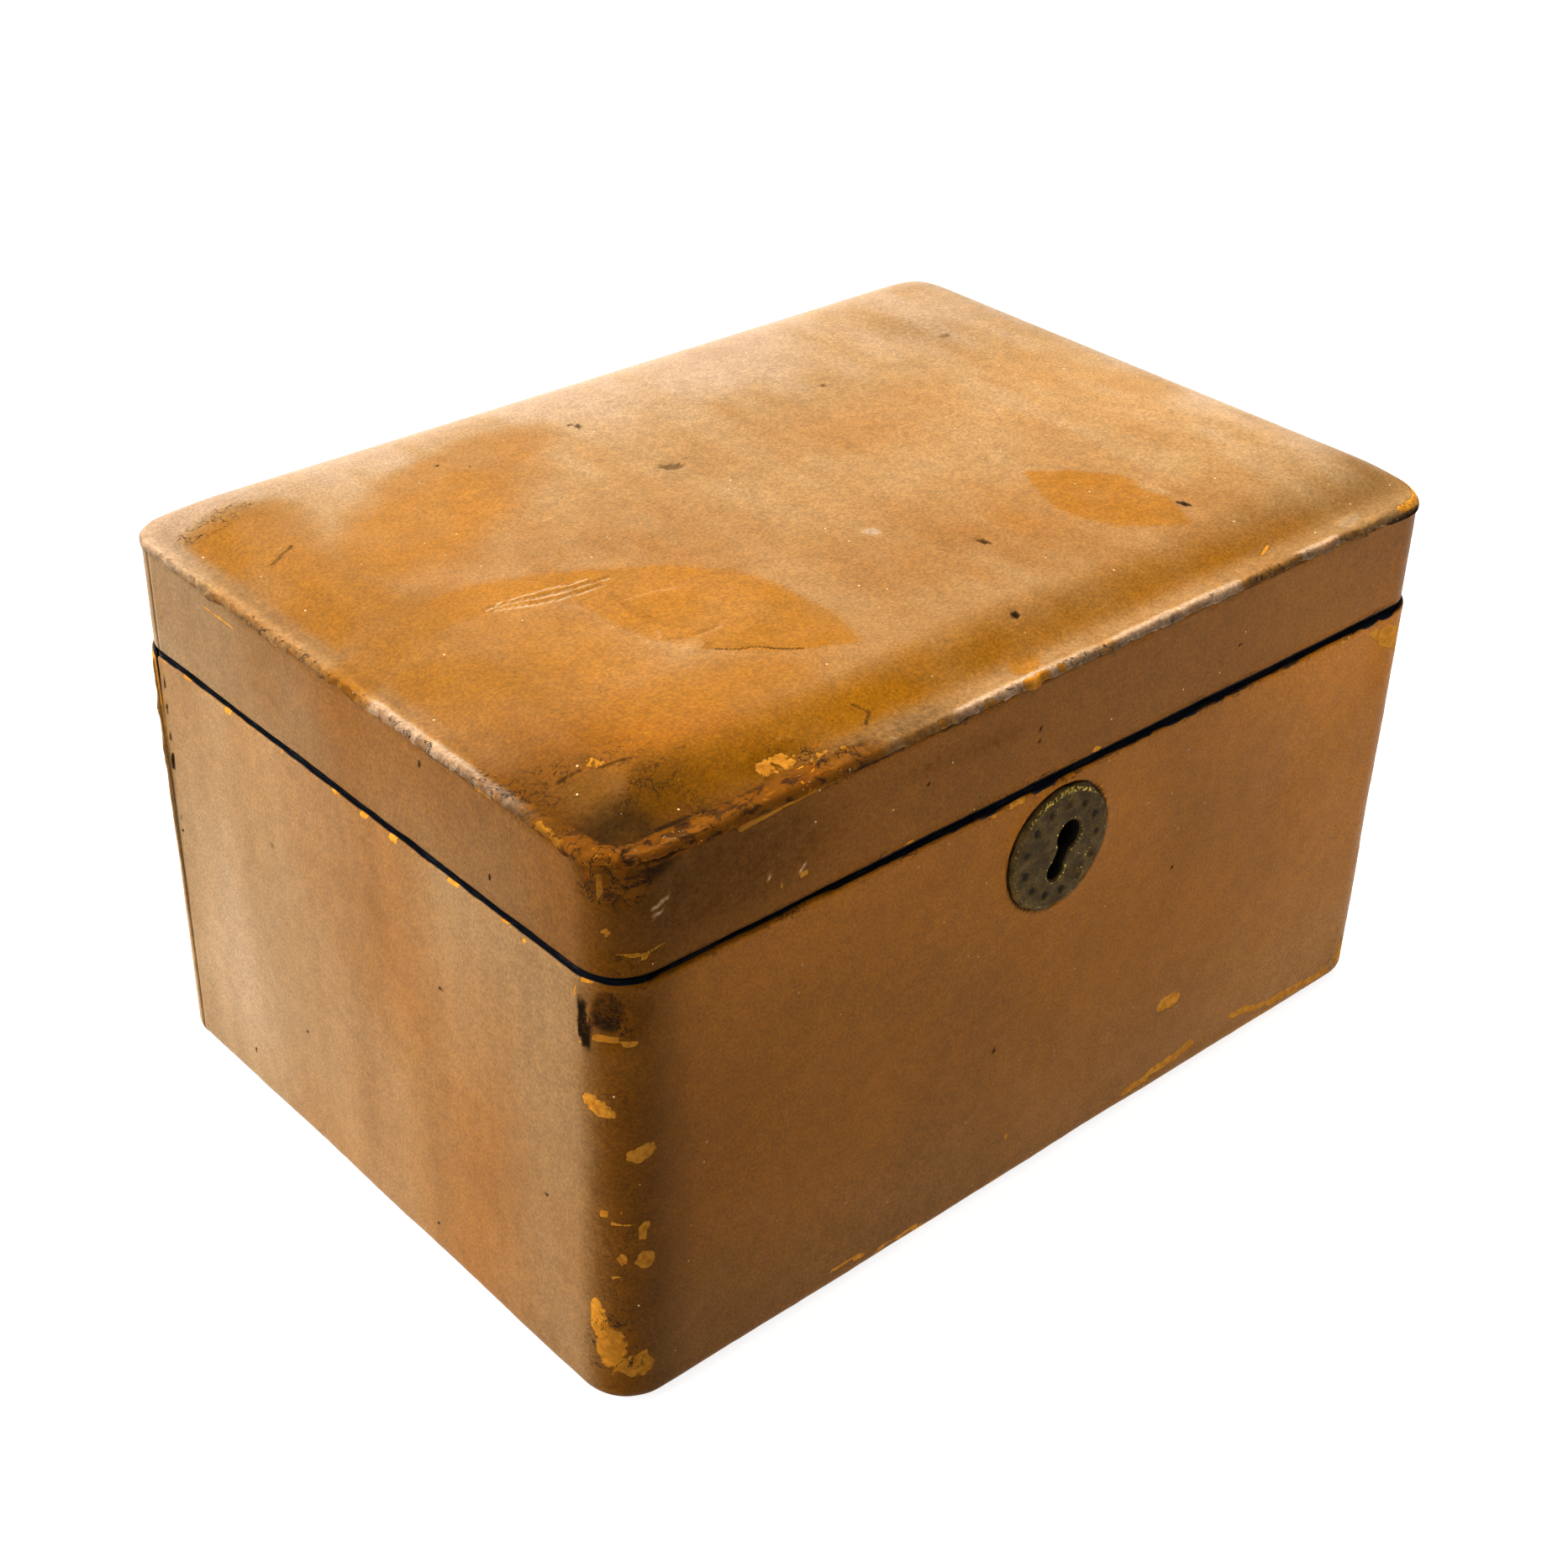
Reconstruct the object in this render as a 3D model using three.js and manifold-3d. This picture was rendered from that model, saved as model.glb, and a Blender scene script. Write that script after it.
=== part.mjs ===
// A leather-covered wooden box with a padded, hinged lid, a round brass keyhole plate and a small box lock.
// Millimetres. +X runs along the front, the keyhole faces -Y and +Z is up.
// The origin is the centre of the base.
import * as THREE from 'three';
import { mergeVertices } from 'three/addons/utils/BufferGeometryUtils.js';
import Module from 'manifold-3d';

const wasm = await Module();
wasm.setup();

// ---- driving dimensions ----
const LENGTH = 210; // over the leather, along X
const WIDTH = 150; // over the leather, along Y
const BODY_TOP = 93; // the body's rim
const LID_GAP = 0.9; // between the rims of body and lid
const LID_RIM = 114.6; // top of the lid's side strip
const LID_DOME = 4.3; // rise of the padded middle over the margin
const CORNER_R = 10; // upright corners, in plan
const BASE_ROUND = 3; // rounding along the bottom edge
const LID_INSET = 0.7; // the lid is this much smaller all round
const LEATHER = 1;
const WALL = 8; // boards of the four sides
const BOARD = 6; // bottom and top boards
const LINING = 1.4;
const GLUE = 0.2; // gap between pieces that are glued or screwed together
const EDGING = 0.6; // dark facing on the rims
const BASE_COVER = 0.5;

const LID_BOTTOM = BODY_TOP + LID_GAP;
const WALL_OUT = LEATHER + GLUE; // the boards' outer faces, in from the leather
const WALL_IN = WALL_OUT + WALL;
const LINING_OUT = WALL_IN + GLUE;
const LINING_IN = LINING_OUT + LINING;
const LEATHER_FOOT = BASE_COVER + GLUE;
const FLOOR_BOTTOM = LEATHER_FOOT + LEATHER + GLUE;
const FLOOR_TOP = FLOOR_BOTTOM + BOARD;
const WALL_FOOT = FLOOR_TOP + GLUE;
const WALL_TOP = BODY_TOP - EDGING - GLUE;
const BACK_SEAM_Y = WIDTH / 2 - CORNER_R + 0.4; // where the back panel meets the wrap
const SEAM_GAP = 0.3;

const PLATE_R = 12.7; // keyhole plate
const PLATE_X = -2.4; // the plate and the lock behind it stand a little left of the middle
const PLATE_Z = 78.2;
const PLATE_THICK = 1.3;
const PLATE_SUNK = 0.2; // pressed into the leather
const COLLAR_DEPTH = 2.6; // the plate's collar, which lines the keyhole
const COLLAR = 0.8;
const KEY_X = 2; // key centre, from the lock's middle as all the lock's x are
const KEY_Z = PLATE_Z + 2.1;
const KEY_R = 3; // round top of the keyhole
const KEY_FOOT_R = 2.1;
const KEY_NECK = 3.3;
const KEY_DROP = 7.1; // from the round top to the foot
const KEY_TILT = THREE.MathUtils.degToRad(24);

const LOCK_HALF = 27; // plate and selvedge
const LOCK_FOOT = BODY_TOP - 27.5;
const LOCK_PLATE = 1.2;
const WORKS_HALF = 22;
const WORKS_FOOT = BODY_TOP - 24.8;
const WORKS_DEPTH = 3.9;
const CASE_WALL = 1.2;
const CAP_THICK = 0.6;
const BOLT_THROW = 4.2;
const BOLT_FOOT = BODY_TOP - 8.5;
const BOLT_HIGH = 5;
const BOLT_LEFT = -20.3;
const BOLT_RIGHT = 11.7;
const NOSE_FOOT = BODY_TOP - 7.6;
const NOSE_HIGH = 3.2;
const NOSE_LEFT = 7;
const GUIDE_X = -13; // post that the bolt slides on
const STUMP_X = -4; // pin on the bolt that the lever's window holds
const LEVER_PIVOT_X = -17;
const LEVER_PIVOT_Z = BODY_TOP - 13;
const LEVER_FOOT = BODY_TOP - 10.6;
const LEVER_TOP = BODY_TOP - 3.4;
const TAB_LEFT = 12; // the lid's hooked tab
const TAB_RIGHT = 19;
const TAB_FOOT = BODY_TOP - 10.4;
const TAB_Y = [-69.2, -67.6];
const LINK_Y = [-71.3, -66]; // the lid's plate, which carries the tab

const HINGE_X = 62;
const HINGE_LONG = 38;
const HINGE_Y = WIDTH / 2 + 1; // axis, just behind the back
const HINGE_Z = BODY_TOP + LID_GAP / 2;
const KNUCKLE_R = 2;
const KNUCKLES = 5;
const LEAF_THICK = 1;
const LEAF_Y = 67.6; // inner edge of the leaves
const LEAF_SCREW_Y = 70.6;
const LEAF_SCREW_X = 12; // either side of a hinge's middle
const PIN_R = 0.9;
const BORE_R = 1.05;
const RUN_GAP = 0.3; // round moving parts and between knuckles

const SCREW_R = 0.8;
const HEAD_R = 1.7;
const HEAD_HIGH = 0.9;
const LEAF_SCREW_LONG = 9;
const LOCK_SCREW_LONG = 5.5;
const LINK_SCREW_LONG = 8;
const ARC_STEPS = 8; // per quarter round
const ROUND_STEPS = 16; // small round parts
const SCREW_STEPS = 10;
const PLATE_STEPS = 40;
const FAR = 400; // beyond the object

// ---- materials ----
function finish(color, roughness, metalness) {
  return new THREE.MeshStandardMaterial({ color, roughness, metalness });
}
const tanLeather = finish(0xb06f2c, 0.45, 0);
const navyEdge = finish(0x101522, 0.7, 0);
const navyVelvet = finish(0x1a2340, 0.95, 0);
const baseCloth = finish(0x3a3026, 0.9, 0);
const wadding = finish(0xe6dcc4, 1, 0);
const pine = finish(0xc79a62, 0.8, 0);
const agedBrass = finish(0x6f5a2c, 0.5, 0.8);
const brass = finish(0xa8893f, 0.35, 0.9);
const steel = finish(0x7d7f82, 0.35, 0.9);

// ---- shapes ----

// A closed mesh as a solid that can be joined and cut, with its faces pointing out.
function toSolid(geometry) {
  const bare = geometry.index ? geometry.toNonIndexed() : geometry.clone();
  bare.deleteAttribute('normal');
  bare.deleteAttribute('uv');
  const merged = mergeVertices(bare, 1e-4);
  const corners = merged.index.array;
  const kept = [];
  for (let i = 0; i < corners.length; i += 3) {
    const [a, b, c] = [corners[i], corners[i + 1], corners[i + 2]];
    if (a !== b && b !== c && c !== a) kept.push(a, b, c);
  }
  const build = (triVerts) => new wasm.Manifold(new wasm.Mesh({
    numProp: 3, vertProperties: merged.attributes.position.array, triVerts: new Uint32Array(triVerts),
  }));
  const solid = build(kept);
  return solid.volume() < 0 ? build(kept.reverse()) : solid;
}

function toGeometry(solid) {
  const mesh = solid.getMesh();
  const geometry = new THREE.BufferGeometry();
  geometry.setAttribute('position', new THREE.BufferAttribute(new Float32Array(mesh.vertProperties), 3));
  geometry.setIndex(new THREE.BufferAttribute(new Uint32Array(mesh.triVerts), 1));
  geometry.computeVertexNormals();
  return geometry;
}

const joined = (first, ...rest) => rest.reduce((all, one) => all.add(one), first);
const cut = (solid, ...tools) => tools.reduce((left, tool) => left.subtract(tool), solid);

function box([x0, x1], [y0, y1], [z0, z1]) {
  const geometry = new THREE.BoxGeometry(x1 - x0, y1 - y0, z1 - z0);
  return toSolid(geometry.translate((x0 + x1) / 2, (y0 + y1) / 2, (z0 + z1) / 2));
}

// A rod between two points on an axis named by its letter.
function rod(axis, radius, [from, to], centre) {
  const geometry = new THREE.CylinderGeometry(radius, radius, to - from, ROUND_STEPS);
  if (axis === 'x') geometry.rotateZ(-Math.PI / 2);
  if (axis === 'z') geometry.rotateX(Math.PI / 2);
  const place = new THREE.Vector3(centre.x ?? 0, centre.y ?? 0, centre.z ?? 0);
  place[axis] = (from + to) / 2;
  return toSolid(geometry.translate(place.x, place.y, place.z));
}

// A rectangle with round corners, anticlockwise, as points in plan.
function roundedOutline(halfX, halfY, radius) {
  const points = [];
  for (let corner = 0; corner < 4; corner += 1) {
    const sideX = corner === 0 || corner === 3 ? 1 : -1;
    const sideY = corner < 2 ? 1 : -1;
    for (let step = 0; step <= ARC_STEPS; step += 1) {
      const angle = (corner + step / ARC_STEPS) * (Math.PI / 2);
      points.push(new THREE.Vector2(
        sideX * (halfX - radius) + radius * Math.cos(angle),
        sideY * (halfY - radius) + radius * Math.sin(angle),
      ));
    }
  }
  return points;
}

// The box's outline in plan, moved in by an inset; the corners stay concentric while they can.
function bodyOutline(inset, radius = Math.max(CORNER_R - inset, 0.6)) {
  return roundedOutline(LENGTH / 2 - inset, WIDTH / 2 - inset, radius);
}

// A skin over a stack of outlines. A ring's stack closes on itself; any other is capped at both ends.
function loft(sections, isRing) {
  const ringAt = ({ inset, z, radius }) => bodyOutline(inset, radius).map((p) => [p.x, p.y, z]);
  const rings = sections.map(ringAt);
  const count = rings[0].length;
  const triangles = [];
  const last = isRing ? rings.length : rings.length - 1;
  for (let r = 0; r < last; r += 1) {
    const below = r * count;
    const above = ((r + 1) % rings.length) * count;
    for (let i = 0; i < count; i += 1) {
      const next = (i + 1) % count;
      triangles.push(below + i, below + next, above + next, below + i, above + next, above + i);
    }
  }
  if (!isRing) {
    const cap = (r, flip) => {
      const flat = rings[r].map(([x, y]) => new THREE.Vector2(x, y));
      THREE.ShapeUtils.triangulateShape(flat, []).forEach(([a, b, c]) => {
        triangles.push(...(flip ? [a, c, b] : [a, b, c]).map((i) => r * count + i));
      });
    };
    cap(0, true);
    cap(rings.length - 1, false);
  }
  const geometry = new THREE.BufferGeometry();
  geometry.setAttribute('position', new THREE.Float32BufferAttribute(rings.flat(2), 3));
  geometry.setIndex(triangles);
  return toSolid(geometry);
}

const slab = (inset, [z0, z1], radius) => loft([{ inset, z: z0, radius }, { inset, z: z1, radius }], false);
const band = (outer, inner, [z0, z1]) => loft(
  [{ inset: outer, z: z0 }, { inset: outer, z: z1 }, { inset: inner, z: z1 }, { inset: inner, z: z0 }], true,
);

// A keyhole along Y, round at the top and narrower below, leaning with its foot towards -X.
function keyhole(grow, [y0, y1]) {
  const lean = new THREE.Matrix4().makeRotationY(KEY_TILT).setPosition(KEY_X, 0, KEY_Z);
  const along = (radius, z) => {
    const geometry = new THREE.CylinderGeometry(radius + grow, radius + grow, y1 - y0, ROUND_STEPS);
    return toSolid(geometry.translate(0, (y0 + y1) / 2, z).applyMatrix4(lean));
  };
  const neck = new THREE.BoxGeometry(KEY_NECK + 2 * grow, y1 - y0, KEY_DROP);
  return joined(
    along(KEY_R, 0),
    along(KEY_FOOT_R, -KEY_DROP),
    toSolid(neck.translate(0, (y0 + y1) / 2, -KEY_DROP / 2).applyMatrix4(lean)),
  );
}

// A countersunk wood screw whose head faces `out` at `at`; `slack` makes the hole that it goes into.
function screwSolid(at, out, long, slack = 0) {
  const tip = 1.2;
  const top = slack > 0 ? 2 : 0;
  const profile = [
    [0, -long - slack], [SCREW_R + slack, -long - slack + tip], [SCREW_R + slack, -HEAD_HIGH - slack],
    [HEAD_R + slack, -slack / 2], [HEAD_R + slack, top], [0, top],
  ];
  const flat = profile.filter(([r, z], i) => i === 0 || r !== profile[i - 1][0] || z !== profile[i - 1][1]);
  const turn = new THREE.Quaternion().setFromUnitVectors(new THREE.Vector3(0, 1, 0), out);
  const placed = new THREE.Matrix4().compose(at, turn, new THREE.Vector3(1, 1, 1));
  const lathe = new THREE.LatheGeometry(flat.map(([r, z]) => new THREE.Vector2(r, z)), SCREW_STEPS);
  const solid = toSolid(lathe.applyMatrix4(placed));
  if (slack > 0) return solid;
  const slot = new THREE.BoxGeometry(3 * HEAD_R, 0.8, 0.4);
  return cut(solid, toSolid(slot.applyMatrix4(placed)));
}

const lidded = new THREE.Group();
function add(name, solid, material, parent = lidded) {
  const mesh = new THREE.Mesh(toGeometry(solid), material);
  mesh.name = name;
  parent.add(mesh);
}

// The lock is drawn about its own middle; this moves what it cuts to where the lock stands.
const atLock = (...solids) => solids.map((solid) => toSolid(toGeometry(solid).translate(PLATE_X, 0, 0)));

const SIDE_X = LENGTH / 2;
const SIDE_Y = WIDTH / 2;
const SCREW_SLACK = 0.2;
const UP = new THREE.Vector3(0, 0, 1);
const DOWN = new THREE.Vector3(0, 0, -1);
const INWARD = new THREE.Vector3(0, 1, 0); // from the front board into the box

// ---- screws, which also cut their holes ----
const screwAt = (x, y, z, out, long) => [new THREE.Vector3(x, y, z), out, long];
const leafScrews = [-1, 1].flatMap((side) => [-1, 1].map((end) => side * HINGE_X + end * LEAF_SCREW_X));
const bodyLeafScrews = leafScrews.map((x) => screwAt(x, LEAF_SCREW_Y, BODY_TOP, UP, LEAF_SCREW_LONG));
const lidLeafScrews = leafScrews.map((x) => screwAt(x, LEAF_SCREW_Y, LID_BOTTOM, DOWN, LEAF_SCREW_LONG));
const boardInY = -(SIDE_Y - WALL_IN); // inner face of the front board
const lockScrewX = LOCK_HALF - 2.4;
const lockScrewZ = [BODY_TOP - 22, BODY_TOP - 6];
const lockScrews = [-lockScrewX, lockScrewX].flatMap(
  (x) => lockScrewZ.map((z) => screwAt(x, boardInY, z, INWARD, LOCK_SCREW_LONG)),
);
const linkScrewY = (LINK_Y[0] + LINK_Y[1]) / 2;
const linkScrews = [-22, 6].map((x) => screwAt(x, linkScrewY, LID_BOTTOM, DOWN, LINK_SCREW_LONG));
const holes = (screws) => screws.map(([at, out, long]) => screwSolid(at, out, long, SCREW_SLACK));

function addScrews(prefix, screws, parent) {
  screws.forEach(([at, out, long], i) => {
    add(`${prefix}_${i + 1}`, screwSolid(at, out, long), brass, parent);
  });
}

// ---- hinges ----
const hingeCentres = [['left', -HINGE_X], ['right', HINGE_X]];

// The room that a hinge takes out of the woodwork and leather, above or below the gap.
function hingeRoom(x, isLid) {
  const half = HINGE_LONG / 2 + RUN_GAP;
  const deep = LID_GAP / 2 + LEAF_THICK + GLUE;
  const z = isLid ? [HINGE_Z, HINGE_Z + deep] : [HINGE_Z - deep, HINGE_Z];
  return joined(
    box([x - half, x + half], [LEAF_Y - RUN_GAP, HINGE_Y], z),
    rod('x', KNUCKLE_R + RUN_GAP + 0.1, [x - half, x + half], { y: HINGE_Y, z: HINGE_Z }),
  );
}

// One leaf with its own knuckles; the other leaf's knuckles are cleared.
function hingeLeaf(x, isLid) {
  const axis = { y: HINGE_Y, z: HINGE_Z };
  const face = isLid ? LID_BOTTOM : BODY_TOP;
  const z = isLid ? [face, face + LEAF_THICK] : [face - LEAF_THICK, face];
  const step = HINGE_LONG / KNUCKLES;
  let leaf = box([x - HINGE_LONG / 2, x + HINGE_LONG / 2], [LEAF_Y, HINGE_Y - KNUCKLE_R / 2], z);
  for (let k = 0; k < KNUCKLES; k += 1) {
    const start = x - HINGE_LONG / 2 + k * step;
    const isOwn = (k % 2 === 1) === isLid;
    const from = start + (k > 0 ? RUN_GAP / 2 : 0);
    const to = start + step - (k < KNUCKLES - 1 ? RUN_GAP / 2 : 0);
    if (isOwn) leaf = leaf.add(rod('x', KNUCKLE_R, [from, to], axis));
  }
  for (let k = 0; k < KNUCKLES; k += 1) {
    const start = x - HINGE_LONG / 2 + k * step;
    const isOwn = (k % 2 === 1) === isLid;
    const from = start - (k > 0 ? RUN_GAP / 2 : 1);
    const to = start + step + (k < KNUCKLES - 1 ? RUN_GAP / 2 : 1);
    if (!isOwn) leaf = leaf.subtract(rod('x', KNUCKLE_R + RUN_GAP, [from, to], axis));
  }
  return cut(leaf, rod('x', BORE_R, [x - HINGE_LONG, x + HINGE_LONG], axis));
}

function addHinges() {
  const pinOverhang = 0.4;
  hingeCentres.forEach(([side, x]) => {
    const ends = [x - HINGE_LONG / 2 - pinOverhang, x + HINGE_LONG / 2 + pinOverhang];
    add(`hinge_${side}_body_leaf`, cut(hingeLeaf(x, false), ...holes(bodyLeafScrews)), brass);
    add(`hinge_${side}_lid_leaf`, cut(hingeLeaf(x, true), ...holes(lidLeafScrews)), brass);
    add(`hinge_${side}_pin`, rod('x', PIN_R, ends, { y: HINGE_Y, z: HINGE_Z }), steel);
  });
  addScrews('body_leaf_screw', bodyLeafScrews);
  addScrews('lid_leaf_screw', lidLeafScrews);
}

// ---- lock ----
const lockFaceY = boardInY; // the plate is flush with the board
const worksY = lockFaceY - LOCK_PLATE; // back of the plate, where the works begin
const capY = worksY - WORKS_DEPTH - GLUE;
const lockBackY = capY - CAP_THICK;
const capTop = BODY_TOP - 1.5;
const SLOT_SIDE = 0.6; // room round the tab

function lockPocket() {
  const plateX = [-LOCK_HALF - RUN_GAP, LOCK_HALF + RUN_GAP];
  const worksX = [-WORKS_HALF - RUN_GAP, WORKS_HALF + RUN_GAP];
  const above = BODY_TOP + 1;
  return joined(
    box(plateX, [worksY - GLUE, lockFaceY + 1], [LOCK_FOOT - RUN_GAP, above]),
    box(worksX, [lockBackY - GLUE, lockFaceY], [WORKS_FOOT - RUN_GAP, above]),
    box(plateX, [lockBackY - GLUE, lockFaceY], [capTop, above]),
  );
}

function lockCase() {
  const wallY = [worksY - WORKS_DEPTH, worksY];
  const selvedgeZ = BODY_TOP - LOCK_PLATE;
  const plate = joined(
    box([-LOCK_HALF, LOCK_HALF], [worksY, lockFaceY], [LOCK_FOOT, BODY_TOP]),
    box([-LOCK_HALF, LOCK_HALF], [lockBackY, lockFaceY], [selvedgeZ, BODY_TOP]),
    box([-WORKS_HALF, -WORKS_HALF + CASE_WALL], wallY, [WORKS_FOOT, BODY_TOP]),
    box([WORKS_HALF - CASE_WALL, WORKS_HALF], wallY, [WORKS_FOOT, BODY_TOP]),
    box([-WORKS_HALF, WORKS_HALF], wallY, [WORKS_FOOT, WORKS_FOOT + CASE_WALL]),
    rod('y', 1, [worksY - 2.6, worksY], { x: GUIDE_X, z: BOLT_FOOT + BOLT_HIGH / 2 }),
    rod('y', 1.2, [worksY - WORKS_DEPTH + 0.1, worksY], { x: LEVER_PIVOT_X, z: LEVER_PIVOT_Z }),
  );
  const slot = box(
    [TAB_LEFT - SLOT_SIDE, TAB_RIGHT + SLOT_SIDE], [TAB_Y[0] - 1.5 * SLOT_SIDE, worksY - RUN_GAP],
    [selvedgeZ - 1, BODY_TOP + 1],
  );
  const pinHole = rod('y', PIN_R + GLUE, [worksY - 1, lockFaceY + 1], { x: KEY_X, z: KEY_Z });
  return cut(plate, slot, pinHole, ...holes(lockScrews));
}

function lockBolt() {
  const thick = 2;
  const slotR = 1.2; // the guide post's slot
  const talonHalf = 2.5; // notch that the key's bit pushes on
  const talonHigh = 1.7;
  const stumpR = 0.8;
  const stumpUp = 2.7;
  const y = [worksY - RUN_GAP - thick, worksY - RUN_GAP];
  const middle = BOLT_FOOT + BOLT_HIGH / 2;
  const through = [y[0] - 1, y[1] + 1];
  const slotEnds = [GUIDE_X - BOLT_THROW, GUIDE_X];
  const guideSlot = joined(
    box(slotEnds, through, [middle - slotR, middle + slotR]),
    ...slotEnds.map((x) => rod('y', slotR, through, { x, z: middle })),
  );
  const talonX = [KEY_X - talonHalf, KEY_X + talonHalf];
  const talon = box(talonX, through, [BOLT_FOOT - 1, BOLT_FOOT + talonHigh]);
  const bar = joined(
    box([BOLT_LEFT, NOSE_LEFT], y, [BOLT_FOOT, BOLT_FOOT + BOLT_HIGH]),
    box([NOSE_LEFT - 1, BOLT_RIGHT], y, [NOSE_FOOT, NOSE_FOOT + NOSE_HIGH]),
  );
  const stump = rod('y', stumpR, [y[0] - 1.2, y[0] + 0.5], { x: STUMP_X, z: BOLT_FOOT + stumpUp });
  return joined(cut(bar, guideSlot, talon), stump);
}

// The lever lifts about its pivot; the window in it leaves the bolt's stump room to slide.
function lockLever() {
  const bossR = 2.8;
  const pivotR = 1.2;
  const tip = 5;
  const y = [worksY - WORKS_DEPTH + GLUE, worksY - 2.6];
  const through = [y[0] - 1, y[1] + 1];
  const pivot = { x: LEVER_PIVOT_X, z: LEVER_PIVOT_Z };
  const windowX = [STUMP_X - 1.4, STUMP_X + BOLT_THROW + 2];
  const windowZ = [LEVER_FOOT + 1.3, LEVER_TOP - 1.2];
  return cut(
    joined(
      rod('y', bossR, y, pivot),
      box([LEVER_PIVOT_X - 2, LEVER_PIVOT_X + 3], y, [LEVER_PIVOT_Z, LEVER_FOOT + 2]),
      box([LEVER_PIVOT_X - 0.5, tip], y, [LEVER_FOOT, LEVER_TOP]),
    ),
    box(windowX, through, windowZ),
    rod('y', pivotR + GLUE, through, pivot),
  );
}

// A thin bowed strip between the lever and the selvedge.
function leverSpring() {
  const thick = 0.35;
  const deep = 0.7;
  const steps = 12;
  const start = -15.5;
  const span = 18.5;
  const bow = 4.6; // four times the arch's rise
  const arch = (t) => [start + span * t, LEVER_TOP + 0.25 + bow * t * (1 - t)];
  const lower = [];
  const upper = [];
  for (let i = 0; i <= steps; i += 1) {
    const [x, z] = arch(i / steps);
    lower.push(new THREE.Vector2(x, z));
    upper.unshift(new THREE.Vector2(x, z + thick));
  }
  const outline = new THREE.Shape([...lower, ...upper]);
  const strip = new THREE.ExtrudeGeometry(outline, { depth: deep, bevelEnabled: false });
  return toSolid(strip.rotateX(Math.PI / 2).translate(0, worksY - 2.8, 0));
}

function keyPlate() {
  const front = -SIDE_Y + PLATE_SUNK - PLATE_THICK;
  const bevel = 0.6;
  const profile = [
    [0, 0], [PLATE_R, 0], [PLATE_R, PLATE_THICK - bevel], [PLATE_R - bevel, PLATE_THICK], [0, PLATE_THICK],
  ];
  const disc = new THREE.LatheGeometry(profile.map(([r, h]) => new THREE.Vector2(r, h)), PLATE_STEPS);
  disc.rotateX(Math.PI).translate(0, -SIDE_Y + PLATE_SUNK, PLATE_Z);
  const collarEnd = -SIDE_Y + PLATE_SUNK + COLLAR_DEPTH;
  const collar = keyhole(COLLAR, [-SIDE_Y, collarEnd]);
  return cut(joined(toSolid(disc), collar), keyhole(0, [front - 1, collarEnd + 1]));
}

function linkPlate() {
  const notchDeep = 4.4; // room for the bolt's nose
  const notchZ = [NOSE_FOOT - RUN_GAP, NOSE_FOOT + NOSE_HIGH + RUN_GAP];
  const tab = cut(
    box([TAB_LEFT, TAB_RIGHT], TAB_Y, [TAB_FOOT, LID_BOTTOM + 0.5]),
    box([TAB_LEFT - 1, TAB_LEFT + notchDeep], [TAB_Y[0] - 1, TAB_Y[1] + 1], notchZ),
  );
  const plate = box([-LOCK_HALF, LOCK_HALF], LINK_Y, [LID_BOTTOM, LID_BOTTOM + LEAF_THICK]);
  return cut(joined(plate, tab), ...holes(linkScrews));
}

function linkRoom() {
  const x = [-LOCK_HALF - RUN_GAP, LOCK_HALF + RUN_GAP];
  const y = [LINK_Y[0] - RUN_GAP, LINK_Y[1] + RUN_GAP];
  return box(x, y, [LID_BOTTOM - 1, LID_BOTTOM + LEAF_THICK + GLUE]);
}

function addLock() {
  const lock = new THREE.Group();
  lock.position.x = PLATE_X;
  lidded.add(lock);
  add('escutcheon', keyPlate(), agedBrass, lock);
  add('lock_case', lockCase(), brass, lock);
  const cap = box([-WORKS_HALF + 0.2, WORKS_HALF - 0.2], [lockBackY, capY], [WORKS_FOOT + 0.2, capTop]);
  add('lock_cap', cut(cap, keyhole(0, [lockBackY - 1, capY + 1])), brass, lock);
  add('lock_bolt', lockBolt(), steel, lock);
  add('lock_lever', lockLever(), brass, lock);
  add('lever_spring', leverSpring(), steel, lock);
  add('key_pin', rod('y', PIN_R, [capY - 0.2, lockFaceY - 0.1], { x: KEY_X, z: KEY_Z }), steel, lock);
  addScrews('lock_screw', lockScrews, lock);
  add('link_plate', linkPlate(), brass, lock);
  addScrews('link_screw', linkScrews, lock);
}

// ---- body ----
const hingeRooms = (isLid) => hingeCentres.map(([, x]) => hingeRoom(x, isLid));
const behind = (y) => box([-FAR, FAR], [y, FAR], [-FAR, FAR]);
const inFront = (y) => box([-FAR, FAR], [-FAR, y], [-FAR, FAR]);

// Four boards cut from one ring: front and back run full length, the ends stand between them.
function fourBoards(ring, inset) {
  const faceY = SIDE_Y - inset;
  const faceX = SIDE_X - inset;
  const end = (x) => box(x, [-faceY + GLUE, faceY - GLUE], [-FAR, FAR]);
  return {
    front: ring.intersect(inFront(-faceY)),
    back: ring.intersect(behind(faceY)),
    left: ring.intersect(end([-FAR, -faceX + 0.01])),
    right: ring.intersect(end([faceX - 0.01, FAR])),
  };
}

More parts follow.
